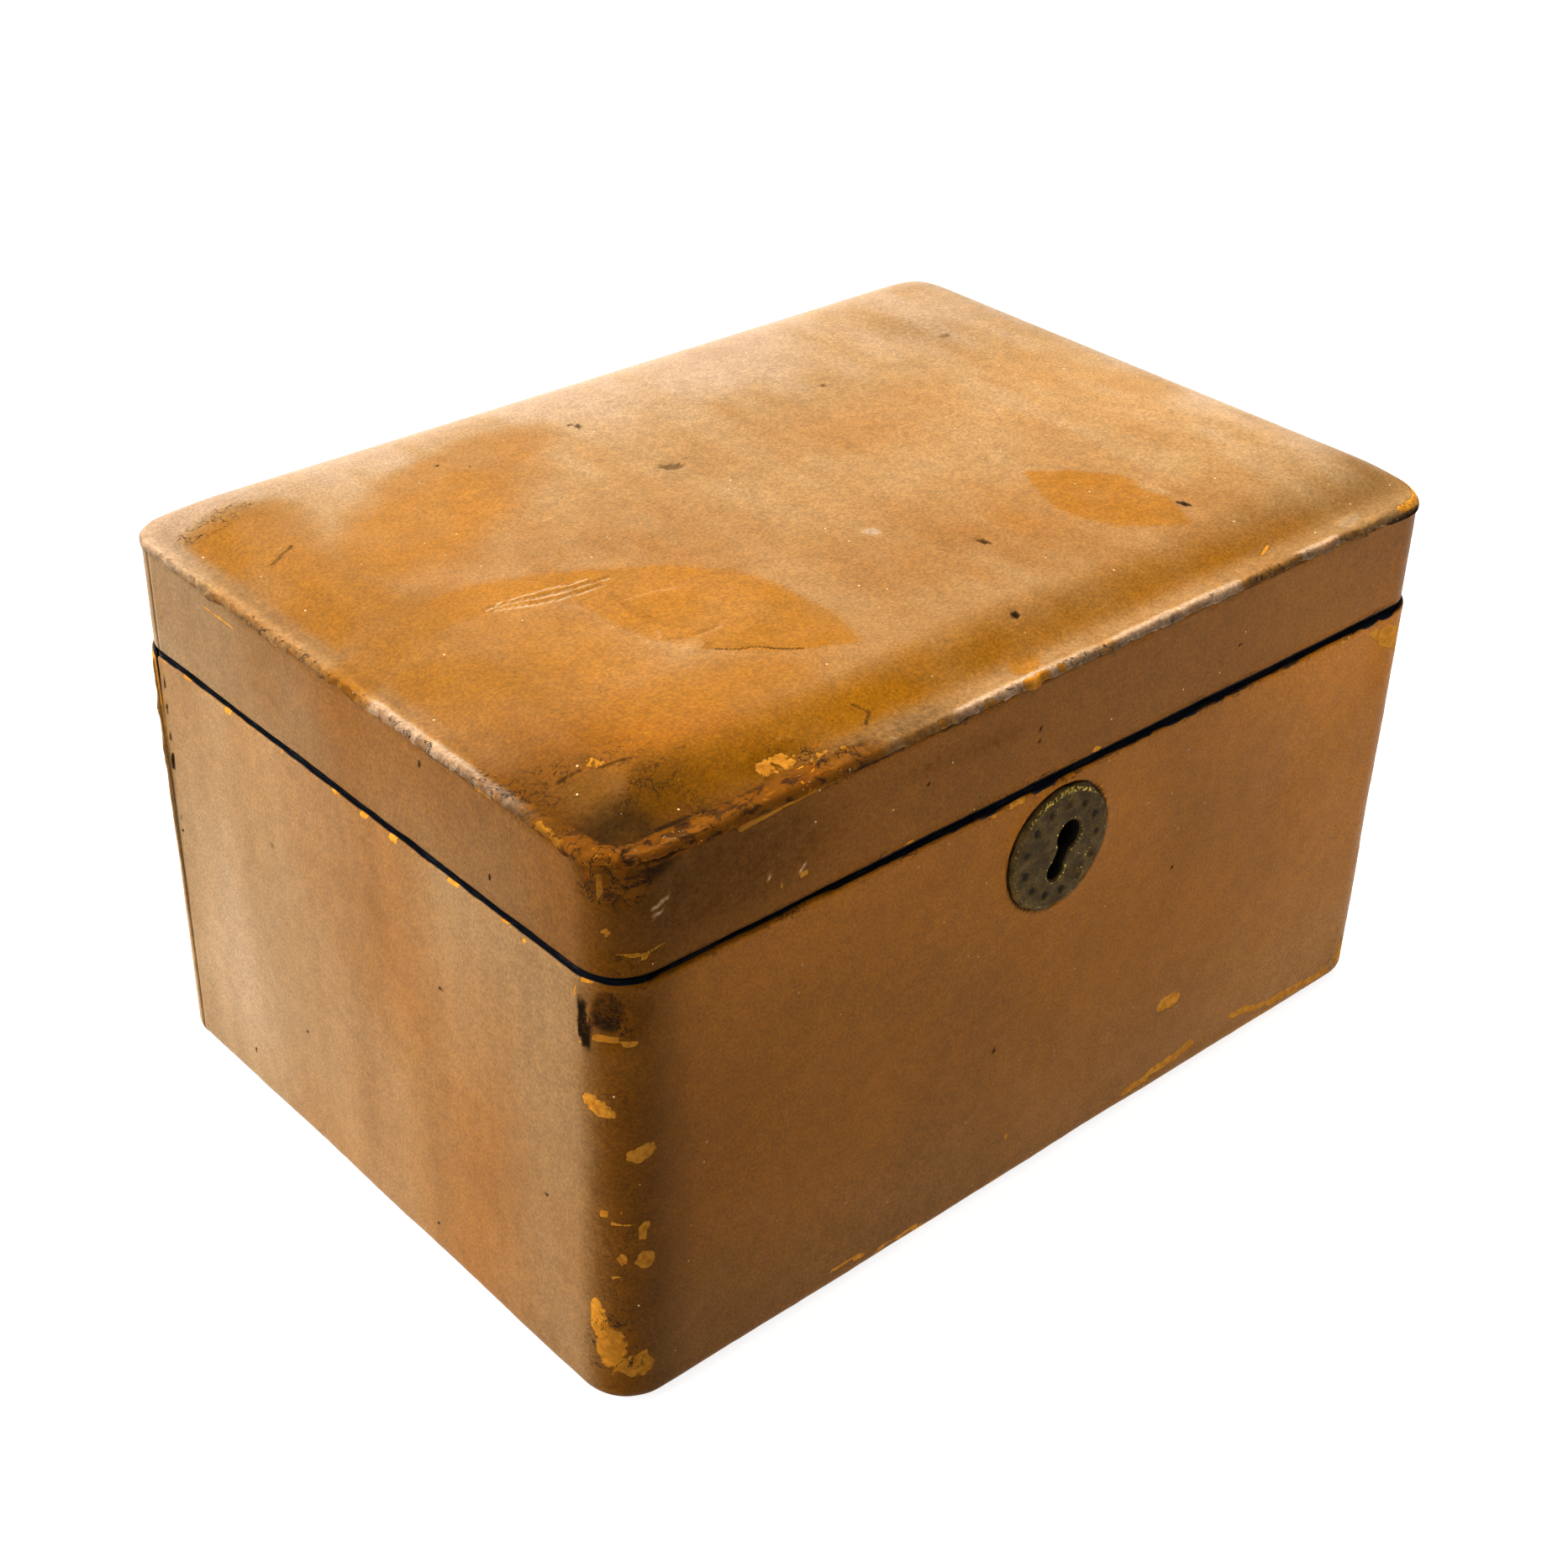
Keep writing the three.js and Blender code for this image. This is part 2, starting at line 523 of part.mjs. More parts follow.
function addCarcass() {
  const chamfer = 2.2;
  add('bottom_board', loft([
    { inset: WALL_OUT + chamfer, z: FLOOR_BOTTOM },
    { inset: WALL_OUT, z: FLOOR_BOTTOM + chamfer },
    { inset: WALL_OUT, z: FLOOR_TOP },
  ], false), pine);
  const boards = fourBoards(band(WALL_OUT, WALL_IN, [WALL_FOOT, WALL_TOP]), WALL_IN);
  const keyRoom = keyhole(COLLAR + RUN_GAP, [-SIDE_Y, lockBackY]);
  add('front_board', cut(boards.front, ...atLock(lockPocket(), keyRoom, ...holes(lockScrews))), pine);
  add('back_board', cut(boards.back, ...hingeRooms(false), ...holes(bodyLeafScrews)), pine);
  add('left_board', boards.left, pine);
  add('right_board', boards.right, pine);
  add('base_cover', slab(BASE_ROUND + 0.4, [0, BASE_COVER]), baseCloth);
  const edging = band(WALL_OUT, WALL_IN, [BODY_TOP - EDGING, BODY_TOP]);
  add('body_rim_edging', cut(edging, ...atLock(lockPocket()), ...hingeRooms(false)), navyEdge);
}

// The leather goes up the sides, round the bottom edge and a little way under the base.
function addBodyLeather() {
  const turnedUnder = 8;
  const quarter = (radius, from, to) => Array.from({ length: 5 }, (_, i) => {
    const angle = THREE.MathUtils.lerp(from, to, i / 4);
    return {
      inset: BASE_ROUND - radius * Math.cos(angle), z: LEATHER_FOOT + BASE_ROUND - radius * Math.sin(angle),
    };
  });
  const skin = loft([
    { inset: 0, z: BODY_TOP },
    ...quarter(BASE_ROUND, 0, Math.PI / 2),
    { inset: turnedUnder, z: LEATHER_FOOT },
    { inset: turnedUnder, z: LEATHER_FOOT + LEATHER },
    ...quarter(BASE_ROUND - LEATHER, Math.PI / 2, 0),
    { inset: LEATHER, z: BODY_TOP },
  ], true);
  const seatRoom = rod('y', PLATE_R + RUN_GAP, [-SIDE_Y - 1, -SIDE_Y + PLATE_SUNK + GLUE], { z: PLATE_Z });
  const keyRoom = keyhole(COLLAR + RUN_GAP, [-SIDE_Y - 1, -SIDE_Y + 2 * LEATHER]);
  const wrap = skin.intersect(inFront(BACK_SEAM_Y - SEAM_GAP));
  add('body_leather_wrap', cut(wrap, ...atLock(seatRoom, keyRoom)), tanLeather);
  add('back_leather_panel', cut(skin.intersect(behind(BACK_SEAM_Y)), ...hingeRooms(false)), tanLeather);
}

function addBodyLining() {
  const lockRoom = box(
    [-LOCK_HALF - RUN_GAP, LOCK_HALF + RUN_GAP], [-FAR, 0], [LOCK_FOOT - RUN_GAP, BODY_TOP + 1],
  );
  const ring = cut(
    slab(LINING_OUT, [WALL_FOOT, BODY_TOP], 0.6),
    slab(LINING_IN, [WALL_FOOT - 1, BODY_TOP + 1], 0.6),
  );
  const linings = fourBoards(ring, LINING_IN);
  add('lining_front', cut(linings.front, ...atLock(lockRoom)), navyVelvet);
  add('lining_back', linings.back, navyVelvet);
  add('lining_left', linings.left, navyVelvet);
  add('lining_right', linings.right, navyVelvet);
  const edge = LINING_IN + GLUE;
  add('floor_pad', loft([
    { inset: edge, z: WALL_FOOT, radius: 2 },
    { inset: edge, z: WALL_FOOT + 3.4, radius: 2 },
    { inset: edge + 2, z: WALL_FOOT + 5.4, radius: 3 },
    { inset: edge + 8, z: WALL_FOOT + 6.4, radius: 6 },
  ], false), navyVelvet);
}

// ---- lid ----
const LID_OUT = LID_INSET + LEATHER + GLUE; // the lid's boards, in from the body's leather
const LID_IN = LID_OUT + WALL;
const TOP_BOARD_Z = LID_RIM - BOARD;

// Height of the top leather's upper face: a flat margin, a shoulder, then the padded middle.
function crownZ(inset) {
  const margin = 5;
  const shoulder = 13;
  const rise = THREE.MathUtils.smoothstep(inset, margin, margin + shoulder);
  return LID_RIM + LEATHER + 0.7 + 0.25 * Math.min(inset / margin, 1) + LID_DOME * rise;
}
const crownSection = (inset, under) => ({
  inset: LID_INSET + inset, z: crownZ(inset) - under, radius: Math.max(CORNER_R - inset, 3) + inset / 4,
});

function addLidLeather() {
  const strip = band(LID_INSET, LID_INSET + LEATHER, [LID_BOTTOM, LID_RIM]);
  add('lid_side_leather', strip.intersect(inFront(BACK_SEAM_Y - SEAM_GAP)), tanLeather);
  add('lid_back_leather', cut(strip.intersect(behind(BACK_SEAM_Y)), ...hingeRooms(true)), tanLeather);
  const outer = [26, 18, 15, 12, 9, 6, 3, 1];
  const proud = -0.3;
  const foot = LID_RIM + GLUE;
  add('lid_top_leather', loft([
    ...outer.map((inset) => crownSection(inset, 0)),
    { inset: LID_INSET + proud + 0.2, z: LID_RIM + 1.4 },
    { inset: LID_INSET + proud, z: LID_RIM + 0.9 },
    { inset: LID_INSET + proud, z: foot },
    { inset: LID_INSET + 1, z: foot },
    { inset: LID_INSET + 2, z: foot + GLUE },
    ...[...outer].reverse().slice(1).map((inset) => crownSection(inset, LEATHER + 0.2)),
  ], false), tanLeather);
  const padRings = [26, 18, 15, 12, 9, 7.5];
  const padFoot = LID_RIM + GLUE;
  add('lid_pad', loft([
    ...padRings.map((inset) => crownSection(inset, LEATHER + 0.6)),
    { inset: LID_INSET + padRings.at(-1), z: padFoot, radius: 6 },
  ], false), wadding);
}

function addLidFrame() {
  const boards = fourBoards(band(LID_OUT, LID_IN, [LID_BOTTOM + EDGING + GLUE, TOP_BOARD_Z - GLUE]), LID_IN);
  add('lid_top_board', slab(LID_OUT, [TOP_BOARD_Z, LID_RIM]), pine);
  add('lid_front_rail', cut(boards.front, ...atLock(linkRoom(), ...holes(linkScrews))), pine);
  add('lid_back_rail', cut(boards.back, ...hingeRooms(true), ...holes(lidLeafScrews)), pine);
  add('lid_left_rail', boards.left, pine);
  add('lid_right_rail', boards.right, pine);
  const edging = band(LID_OUT, LID_IN, [LID_BOTTOM, LID_BOTTOM + EDGING]);
  add('lid_rim_edging', cut(edging, ...atLock(linkRoom()), ...hingeRooms(true)), navyEdge);
}

function addLidLining() {
  const out = LID_IN + GLUE;
  const inside = out + LINING;
  const z = [LID_BOTTOM, TOP_BOARD_Z - GLUE];
  const ring = cut(slab(out, z, 0.6), slab(inside, [z[0] - 1, z[1] + 1], 0.6));
  const linings = fourBoards(ring, inside);
  add('lid_lining_front', linings.front, navyVelvet);
  add('lid_lining_back', linings.back, navyVelvet);
  add('lid_lining_left', linings.left, navyVelvet);
  add('lid_lining_right', linings.right, navyVelvet);
  const edge = inside + GLUE;
  add('lid_lining_pad', loft([
    { inset: edge + 8, z: z[1] - 6, radius: 6 },
    { inset: edge + 2, z: z[1] - 5, radius: 3 },
    { inset: edge, z: z[1] - 3, radius: 2 },
    { inset: edge, z: z[1], radius: 2 },
  ], false), navyVelvet);
}

addCarcass();
addBodyLeather();
addBodyLining();
addLock();
addHinges();
addLidFrame();
addLidLeather();
addLidLining();

export default lidded;
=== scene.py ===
"""The looks of a leather-covered lidded box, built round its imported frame. Blender 4.5, metres, +Z up."""
import math
from functools import partial

import bmesh
import bpy
import numpy as np
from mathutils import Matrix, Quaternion, Vector


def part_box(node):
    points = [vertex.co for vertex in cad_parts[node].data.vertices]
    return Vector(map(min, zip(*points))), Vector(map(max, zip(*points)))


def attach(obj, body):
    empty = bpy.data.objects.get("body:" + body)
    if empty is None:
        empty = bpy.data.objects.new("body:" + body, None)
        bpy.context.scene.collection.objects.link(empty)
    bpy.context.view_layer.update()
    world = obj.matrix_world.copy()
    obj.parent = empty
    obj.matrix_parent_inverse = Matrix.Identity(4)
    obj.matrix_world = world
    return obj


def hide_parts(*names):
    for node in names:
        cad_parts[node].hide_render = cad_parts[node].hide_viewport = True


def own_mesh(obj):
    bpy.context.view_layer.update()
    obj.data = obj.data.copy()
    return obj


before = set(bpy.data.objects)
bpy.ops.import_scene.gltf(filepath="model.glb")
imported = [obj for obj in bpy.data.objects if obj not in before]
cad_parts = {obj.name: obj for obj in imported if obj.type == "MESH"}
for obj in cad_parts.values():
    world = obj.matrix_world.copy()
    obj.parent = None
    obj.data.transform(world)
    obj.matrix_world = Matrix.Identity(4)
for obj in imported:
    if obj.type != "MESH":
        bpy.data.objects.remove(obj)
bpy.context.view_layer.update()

MM = 0.001

# ---- places that the frame gives ----
wrap_low, wrap_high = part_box("body_leather_wrap")
strip_low, strip_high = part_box("lid_side_leather")
plate_low, plate_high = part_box("escutcheon")
crown_low, crown_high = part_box("lid_top_leather")
hinge_boxes = [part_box(f"hinge_{side}_pin") for side in ("left", "right")]

CORNER = 10 * MM                       # upright corners of the body, in plan
LID_CORNER = 9.3 * MM
BODY_SHAPE = (wrap_high.x, -wrap_low.y, CORNER)
LID_SHAPE = (strip_high.x, -strip_low.y, LID_CORNER)
TOP_SHAPE = (crown_high.x, crown_high.y, LID_CORNER + crown_high.x - strip_high.x)
BODY_TOP = wrap_high.z
LID_BOTTOM, LID_RIM = strip_low.z, strip_high.z
BASE_ROUND = 3 * MM
LEATHER = 1 * MM                       # thickness of the skins
TURNED_UNDER = 8 * MM                  # how far the skin reaches in under the base
PLATE_CENTRE = (plate_low + plate_high) / 2
PLATE_RADIUS = (plate_high.x - plate_low.x) / 2
FAR_AWAY = 99                          # mm: further from the plate than any of its marks


# ---- noise and masks, all on arrays of points ----
LATTICE_SIDE = 48
LATTICE = np.random.default_rng(11).uniform(-1, 1, (LATTICE_SIDE,) * 3)


def noise(points, size, octaves=2, shift=0.0):
    """Smooth noise, about -1 to 1, with features of that size, which may be three numbers."""
    total = np.zeros(len(points))
    for octave in range(octaves):
        spot = points / np.asarray(size) * 2 ** octave + shift + 7.3 * octave
        cell = np.floor(spot).astype(int)
        part = spot - cell
        part = part * part * (3 - 2 * part)
        value = np.zeros(len(points))
        for corner in range(8):
            step = np.array([corner & 1, corner >> 1 & 1, corner >> 2 & 1])
            i, j, k = ((cell + step) % LATTICE_SIDE).T
            value += LATTICE[i, j, k] * np.where(step, part, 1 - part).prod(axis=1)
        total += value / 2 ** octave
    return total


def smooth(value, low, high):
    """0 below low, 1 above high, and smooth between; low may be the higher one."""
    share = np.clip((value - low) / (high - low), 0, 1)
    return share * share * (3 - 2 * share)


def close_to(value, middle, far, close):
    """1 where value is within close of middle, 0 beyond far."""
    return smooth(np.abs(value - middle), far, close)


def blot(u, v, centre, radii, turn=0.0, soft=0.5):
    """An oval mask: 1 inside, fading over the outer soft share of its radii."""
    a = math.radians(turn)
    du, dv = u - centre[0], v - centre[1]
    along = (du * math.cos(a) + dv * math.sin(a)) / radii[0]
    across = (dv * math.cos(a) - du * math.sin(a)) / radii[1]
    return smooth(np.hypot(along, across), 1 + soft / 2, 1 - soft / 2)


def leaf(u, v, start, end, half_width, soft=0.25):
    """A mask shaped as a pointed leaf from start to end."""
    length = math.dist(start, end)
    du, dv = (end[0] - start[0]) / length, (end[1] - start[1]) / length
    along = ((u - start[0]) * du + (v - start[1]) * dv) / length
    across = np.abs((v - start[1]) * du - (u - start[0]) * dv)
    reach = half_width * 4 * np.clip(along * (1 - along), 0, 1)
    return smooth(across - reach, soft * half_width / 2, -soft * half_width / 2) * ((along > 0) & (along < 1))


def stroke(u, v, points, width):
    """A line mask along points, fading out at width from it."""
    nearest = np.full(len(u), np.inf)
    for (u0, v0), (u1, v1) in zip(points, points[1:]):
        length = max(math.dist((u0, v0), (u1, v1)), 1e-9)
        du, dv = (u1 - u0) / length, (v1 - v0) / length
        along = np.clip((u - u0) * du + (v - v0) * dv, 0, length)
        nearest = np.minimum(nearest, np.hypot(u - u0 - along * du, v - v0 - along * dv))
    return smooth(nearest, width, width * 0.3)


def warped(points, u, v, amount, size):
    """u and v, in mm, pushed about by noise so that outlines laid out in them come out uneven."""
    return u + amount * noise(points, size, 2, 12.4), v + amount * noise(points, size, 2, 31.8)


def union(*masks):
    return np.maximum.reduce(masks)


# ---- the outline in plan ----
def outline_at(lengths, shape):
    """Core points and outward directions at lengths along a round-cornered rectangle.
    Lengths run anticlockwise from the middle of the back. A point is (radius - inset) from its core."""
    half_x, half_y, radius = shape
    flat_x, flat_y, arc = half_x - radius, half_y - radius, radius * math.pi / 2
    knots = np.cumsum([0, flat_x, arc, 2 * flat_y, arc, 2 * flat_x, arc, 2 * flat_y, arc, flat_x])
    at = np.mod(lengths, knots[-1])
    angle = np.radians(np.interp(at, knots, [90, 90, 180, 180, 270, 270, 360, 360, 450, 450]))
    core_x = np.interp(at, knots, flat_x * np.array([0, -1, -1, -1, -1, 1, 1, 1, 1, 0]))
    core_y = np.interp(at, knots, flat_y * np.array([1, 1, 1, -1, -1, -1, -1, 1, 1, 1]))
    return np.stack([core_x, core_y], 1), np.stack([np.cos(angle), np.sin(angle)], 1)


def outline_length(shape):
    """Length all the way round."""
    half_x, half_y, radius = shape
    return 4 * (half_x + half_y - 2 * radius) + 2 * math.pi * radius


def girth_zero(shape):
    """Length, from the middle of the back, of the middle of the front left corner."""
    half_x, half_y, radius = shape
    return (half_x - radius) + 2 * (half_y - radius) + 0.75 * math.pi * radius


def girth_of(points, shape):
    """(girth, inset, outward direction). Girth is the length along the outline from the middle of the
    front left corner: the front is positive, the left side negative."""
    half_x, half_y, radius = shape
    flat = np.array([half_x - radius, half_y - radius])
    core = np.clip(points[:, :2], -flat, flat)
    away = points[:, :2] - core
    reach = np.maximum(np.hypot(*away.T), 1e-9)
    angle = np.degrees(np.arctan2(away[:, 1], away[:, 0]))
    angle = np.where(angle < 45, angle + 360, angle)
    side = np.floor((angle - 45) / 90).astype(int) % 4
    (x, y), (flat_x, flat_y) = core.T, flat
    travel = np.choose(side, [
        -x, flat_x + flat_y - y, 2 * (flat_x + flat_y) + x, 3 * (flat_x + flat_y) + y,
    ])
    turned = np.where(angle < 90, angle + 360, angle) - 90
    travel = np.where((side == 0) & (angle < 90), 4 * (flat_x + flat_y) - x, travel)
    full = outline_length(shape)
    girth = travel + np.radians(turned) * radius - girth_zero(shape)
    girth = np.mod(girth + full / 2, full) - full / 2
    return girth, radius - reach, away / reach[:, None]


def unrolled(girth, height=0.0):
    """Points of the outline laid out straight, for noise that follows it round the corners."""
    return np.stack([girth, girth * 0 + height, girth * 0], 1)


def round_the_back(girth, is_back):
    """Girth that carries on past the left side on the back's own pieces, instead of changing sign there."""
    return np.where(is_back & (girth > 0), girth - outline_length(BODY_SHAPE), girth)


def inset_of(points, shape):
    """How far points are inside the outline."""
    half_x, half_y, radius = shape
    over = np.abs(points[:, :2]) - np.array([half_x - radius, half_y - radius])
    return radius - np.hypot(*np.maximum(over, 0).T) - np.minimum(over.max(axis=1), 0)


# ---- meshes ----
def placed(name, data):
    """A new object in the scene."""
    made = bpy.data.objects.new(name, data)
    bpy.context.scene.collection.objects.link(made)
    return made


def mesh_of(name, points, faces):
    """A closed mesh with its faces turned outwards."""
    mesh = bpy.data.meshes.new(name)
    mesh.from_pydata(np.asarray(points, float).reshape(-1, 3).tolist(), [], faces)
    work = bmesh.new()
    work.from_mesh(mesh)
    bmesh.ops.recalc_face_normals(work, faces=work.faces)
    work.to_mesh(mesh)
    work.free()
    mesh.shade_smooth()
    return placed(name, mesh)


def vectors(collection, field):
    values = np.empty(len(collection) * 3)
    collection.foreach_get(field, values)
    return values.reshape(-1, 3)


def coordinates(piece):
    return vectors(piece.data.vertices, "co")


def normals(piece):
    return vectors(piece.data.vertex_normals, "vector")


def move_to(piece, points):
    piece.data.vertices.foreach_set("co", points.ravel())
    piece.data.update()


def paint(piece, worn=0, grime_and_shade=0, bloom_and_sheen=0, wiped_and_shaded=0, tone_and_shading=1, ink_and_gap_shade=0, frayed=0):
    """Stores what the leather finish reads: wear, dirt with painted shade, bloom with painted sheen and clean
    patches with painted shoulder shade in one colour, then the tone with painted light and shade, the ink
    with the gap's painted shadow, and the fraying.
    """
    count = len(piece.data.vertices)
    layers = np.stack([np.broadcast_to(layer, count) for layer in (worn, grime_and_shade, bloom_and_sheen, wiped_and_shaded)], 1)
    colour = piece.data.attributes.new("paint", "FLOAT_COLOR", "POINT")
    colour.data.foreach_set("color", np.clip(layers, 0, 1).astype(np.float32).ravel())
    for name, layer in (("tone_and_shading", tone_and_shading), ("ink_and_gap_shade", ink_and_gap_shade), ("frayed", frayed)):
        single = piece.data.attributes.new(name, "FLOAT", "POINT")
        single.data.foreach_set("value", np.broadcast_to(layer, count).astype(np.float32))


def stepped(start, *parts):
    """A line of (inset, height) points. Each part is a step and the points to go through, filled in so that
    none are more than a step apart."""
    line = [start]
    for step, points in parts:
        for begin, end in zip([line[-1], *points], points):
            count = max(1, math.ceil(math.dist(begin, end) / step))
            gap = np.array(end) - begin
            line += [tuple(begin + gap * k / count) for k in range(1, count + 1)]
    return line


def quarter(centre, radius, start, end, count=6):
    """An arc of (inset, height) points between two angles in degrees."""
    angles = np.radians(np.linspace(start, end, count))
    return [(centre[0] + radius * math.cos(a), centre[1] + radius * math.sin(a)) for a in angles]


def grid_quads(index):
    """Faces of a grid of point numbers."""
    return np.stack([index[:-1, :-1], index[:-1, 1:], index[1:, 1:], index[1:, :-1]], -1).reshape(-1, 4)


def grid_rim(index):
    """The point numbers round a grid's edge."""
    return np.concatenate([index[0, :-1], index[:-1, -1], index[-1, :0:-1], index[:0:-1, 0]])


def ring_quads(first, second):
    """Faces between two closed rings of point numbers."""
    return np.stack([first, second, np.roll(second, -1), np.roll(first, -1)], -1).tolist()


def swept(name, lengths, shape, profile):
    """A closed profile of (inset, height) pairs carried along the outline and capped at both ends."""
    profile = np.array(profile)
    core, out = outline_at(lengths, shape)
    reach = np.maximum(shape[2] - profile[:, 0], 0.3 * MM)
    flat = core[:, None] + out[:, None] * reach[None, :, None]
    height = np.broadcast_to(profile[:, 1], flat.shape[:2])
    rows, columns = flat.shape[:2]
    row, column = np.meshgrid(np.arange(rows - 1), np.arange(columns), indexing="ij")
    near, far = row * columns + column, row * columns + (column + 1) % columns
    quads = np.stack([near, far, far + columns, near + columns], -1).reshape(-1, 4).tolist()
    caps = [list(range(columns))[::-1], list(range((rows - 1) * columns, rows * columns))]
    return mesh_of(name, np.concatenate([flat, height[..., None]], 2), quads + caps)


def cut(piece, *tools, operation="DIFFERENCE"):
    """Cuts tools out of a piece, or joins them to it, and deletes them."""
    for tool in tools:
        boolean = piece.modifiers.new("cut", "BOOLEAN")
        boolean.object = tool
        boolean.operation = operation
        boolean.solver = "EXACT"
    bake(piece)
    for tool in tools:
        bpy.data.objects.remove(tool)


def bake(piece):
    """Replaces a piece's mesh by what its modifiers make of it."""
    graph = bpy.context.evaluated_depsgraph_get()
    mesh = bpy.data.meshes.new_from_object(piece.evaluated_get(graph), depsgraph=graph)
    piece.modifiers.clear()
    old, piece.data = piece.data, mesh
    bpy.data.meshes.remove(old)


def prism(name, outline, across, start, end):
    """A closed prism: outline points in the two axes that aren't `across`, from start to end along it."""
    others = [axis for axis in range(3) if axis != across]
    count = len(outline)
    points = np.empty((2, count, 3))
    points[:, :, others] = outline
    points[0, :, across], points[1, :, across] = start, end
    first, second = np.arange(2 * count).reshape(2, count)
    return mesh_of(name, points, ring_quads(first, second) + [first.tolist(), second.tolist()])


def circle(centre, radius, count):
    angles = np.arange(count) * 2 * math.pi / count
    return np.stack([centre[0] + radius * np.cos(angles), centre[1] + radius * np.sin(angles)], 1)


# ---- finishes ----
class Finish:
    """A node material with a Principled shader, and short calls for the nodes that the finishes share."""

    def __init__(self, name, **values):
        self.material = bpy.data.materials.new(name)
        self.material.use_nodes = True
        self.tree = self.material.node_tree
        self.shader = next(n for n in self.tree.nodes if n.type == "BSDF_PRINCIPLED")
        for socket, value in values.items():
            self.shader.inputs[socket.replace("_", " ")].default_value = value
        self.place = self.node("ShaderNodeTexCoord").outputs["Object"]

    def node(self, kind, **settings):
        made = self.tree.nodes.new(kind)
        for key, value in settings.items():
            setattr(made, key, value)
        return made

    def feed(self, socket, value):
        if isinstance(value, bpy.types.NodeSocket):
            self.tree.links.new(value, socket)
        elif value is not None:
            socket.default_value = value

    def math(self, operation, *values, clamp=False):
        made = self.node("ShaderNodeMath", operation=operation, use_clamp=clamp)
        for socket, value in zip(made.inputs, values):
            self.feed(socket, value)
        return made.outputs[0]

    def plus(self, *values):
        return self.math("ADD", *values)

    def minus(self, *values, clamp=False):
        return self.math("SUBTRACT", *values, clamp=clamp)

    def times(self, *values, clamp=False):
        return self.math("MULTIPLY", *values, clamp=clamp)

    def swing(self, value, amount):
        """A noise's rise and fall about its middle."""
        return self.times(self.minus(value, 0.5), amount)

    def over(self, colour, share, strength, shade):
        """A shade laid over a colour where share is high."""
        return self.mix(self.times(share, strength), colour, shade)

    def mix(self, share, first, second, blend="MIX"):
        made = self.node("ShaderNodeMix", data_type="RGBA", blend_type=blend)
        for socket, value in ((made.inputs[0], share), (made.inputs[6], first), (made.inputs[7], second)):
            self.feed(socket, (*value, 1) if isinstance(value, tuple) and len(value) == 3 else value)
        return made.outputs[2]

    def band(self, value, low, high, to_low=0.0, to_high=1.0):
        """Maps low..high smoothly onto to_low..to_high."""
        made = self.node("ShaderNodeMapRange", interpolation_type="SMOOTHSTEP")
        for socket, number in zip(made.inputs, (value, low, high, to_low, to_high)):
            self.feed(socket, number)
        return made.outputs[0]

    def stretched(self, x, y, z):
        made = self.node("ShaderNodeMapping")
        self.feed(made.inputs["Vector"], self.place)
        made.inputs["Scale"].default_value = (x, y, z)
        return made.outputs[0]

    def noise(self, size, detail=3.0, rough=0.55, place=None, distort=0.0):
        made = self.node("ShaderNodeTexNoise")
        self.feed(made.inputs["Vector"], place or self.place)
        made.inputs["Scale"].default_value = 1 / size
        made.inputs["Detail"].default_value = detail
        made.inputs["Roughness"].default_value = rough
        made.inputs["Distortion"].default_value = distort
        return made.outputs[0]

    def cells(self, size):
        made = self.node("ShaderNodeTexVoronoi", feature="F1")
        self.feed(made.inputs["Vector"], self.place)
        made.inputs["Scale"].default_value = 1 / size
        return made

    def stored(self, name):
        return self.node("ShaderNodeAttribute", attribute_name=name).outputs["Fac"]

    def bump(self, height, distance, strength=1.0, after=None):
        made = self.node("ShaderNodeBump")
        made.inputs["Strength"].default_value = strength
        made.inputs["Distance"].default_value = distance
        self.feed(made.inputs["Height"], height)
        if after is not None:
            self.feed(made.inputs["Normal"], after)
        return made.outputs[0]

    def done(self, colour=None, roughness=None, normal=None, metallic=None):
        for name, value in (
            ("Base Color", colour), ("Roughness", roughness), ("Normal", normal), ("Metallic", metallic),
        ):
            if value is not None:
                self.feed(self.shader.inputs[name], value)
        return self.material


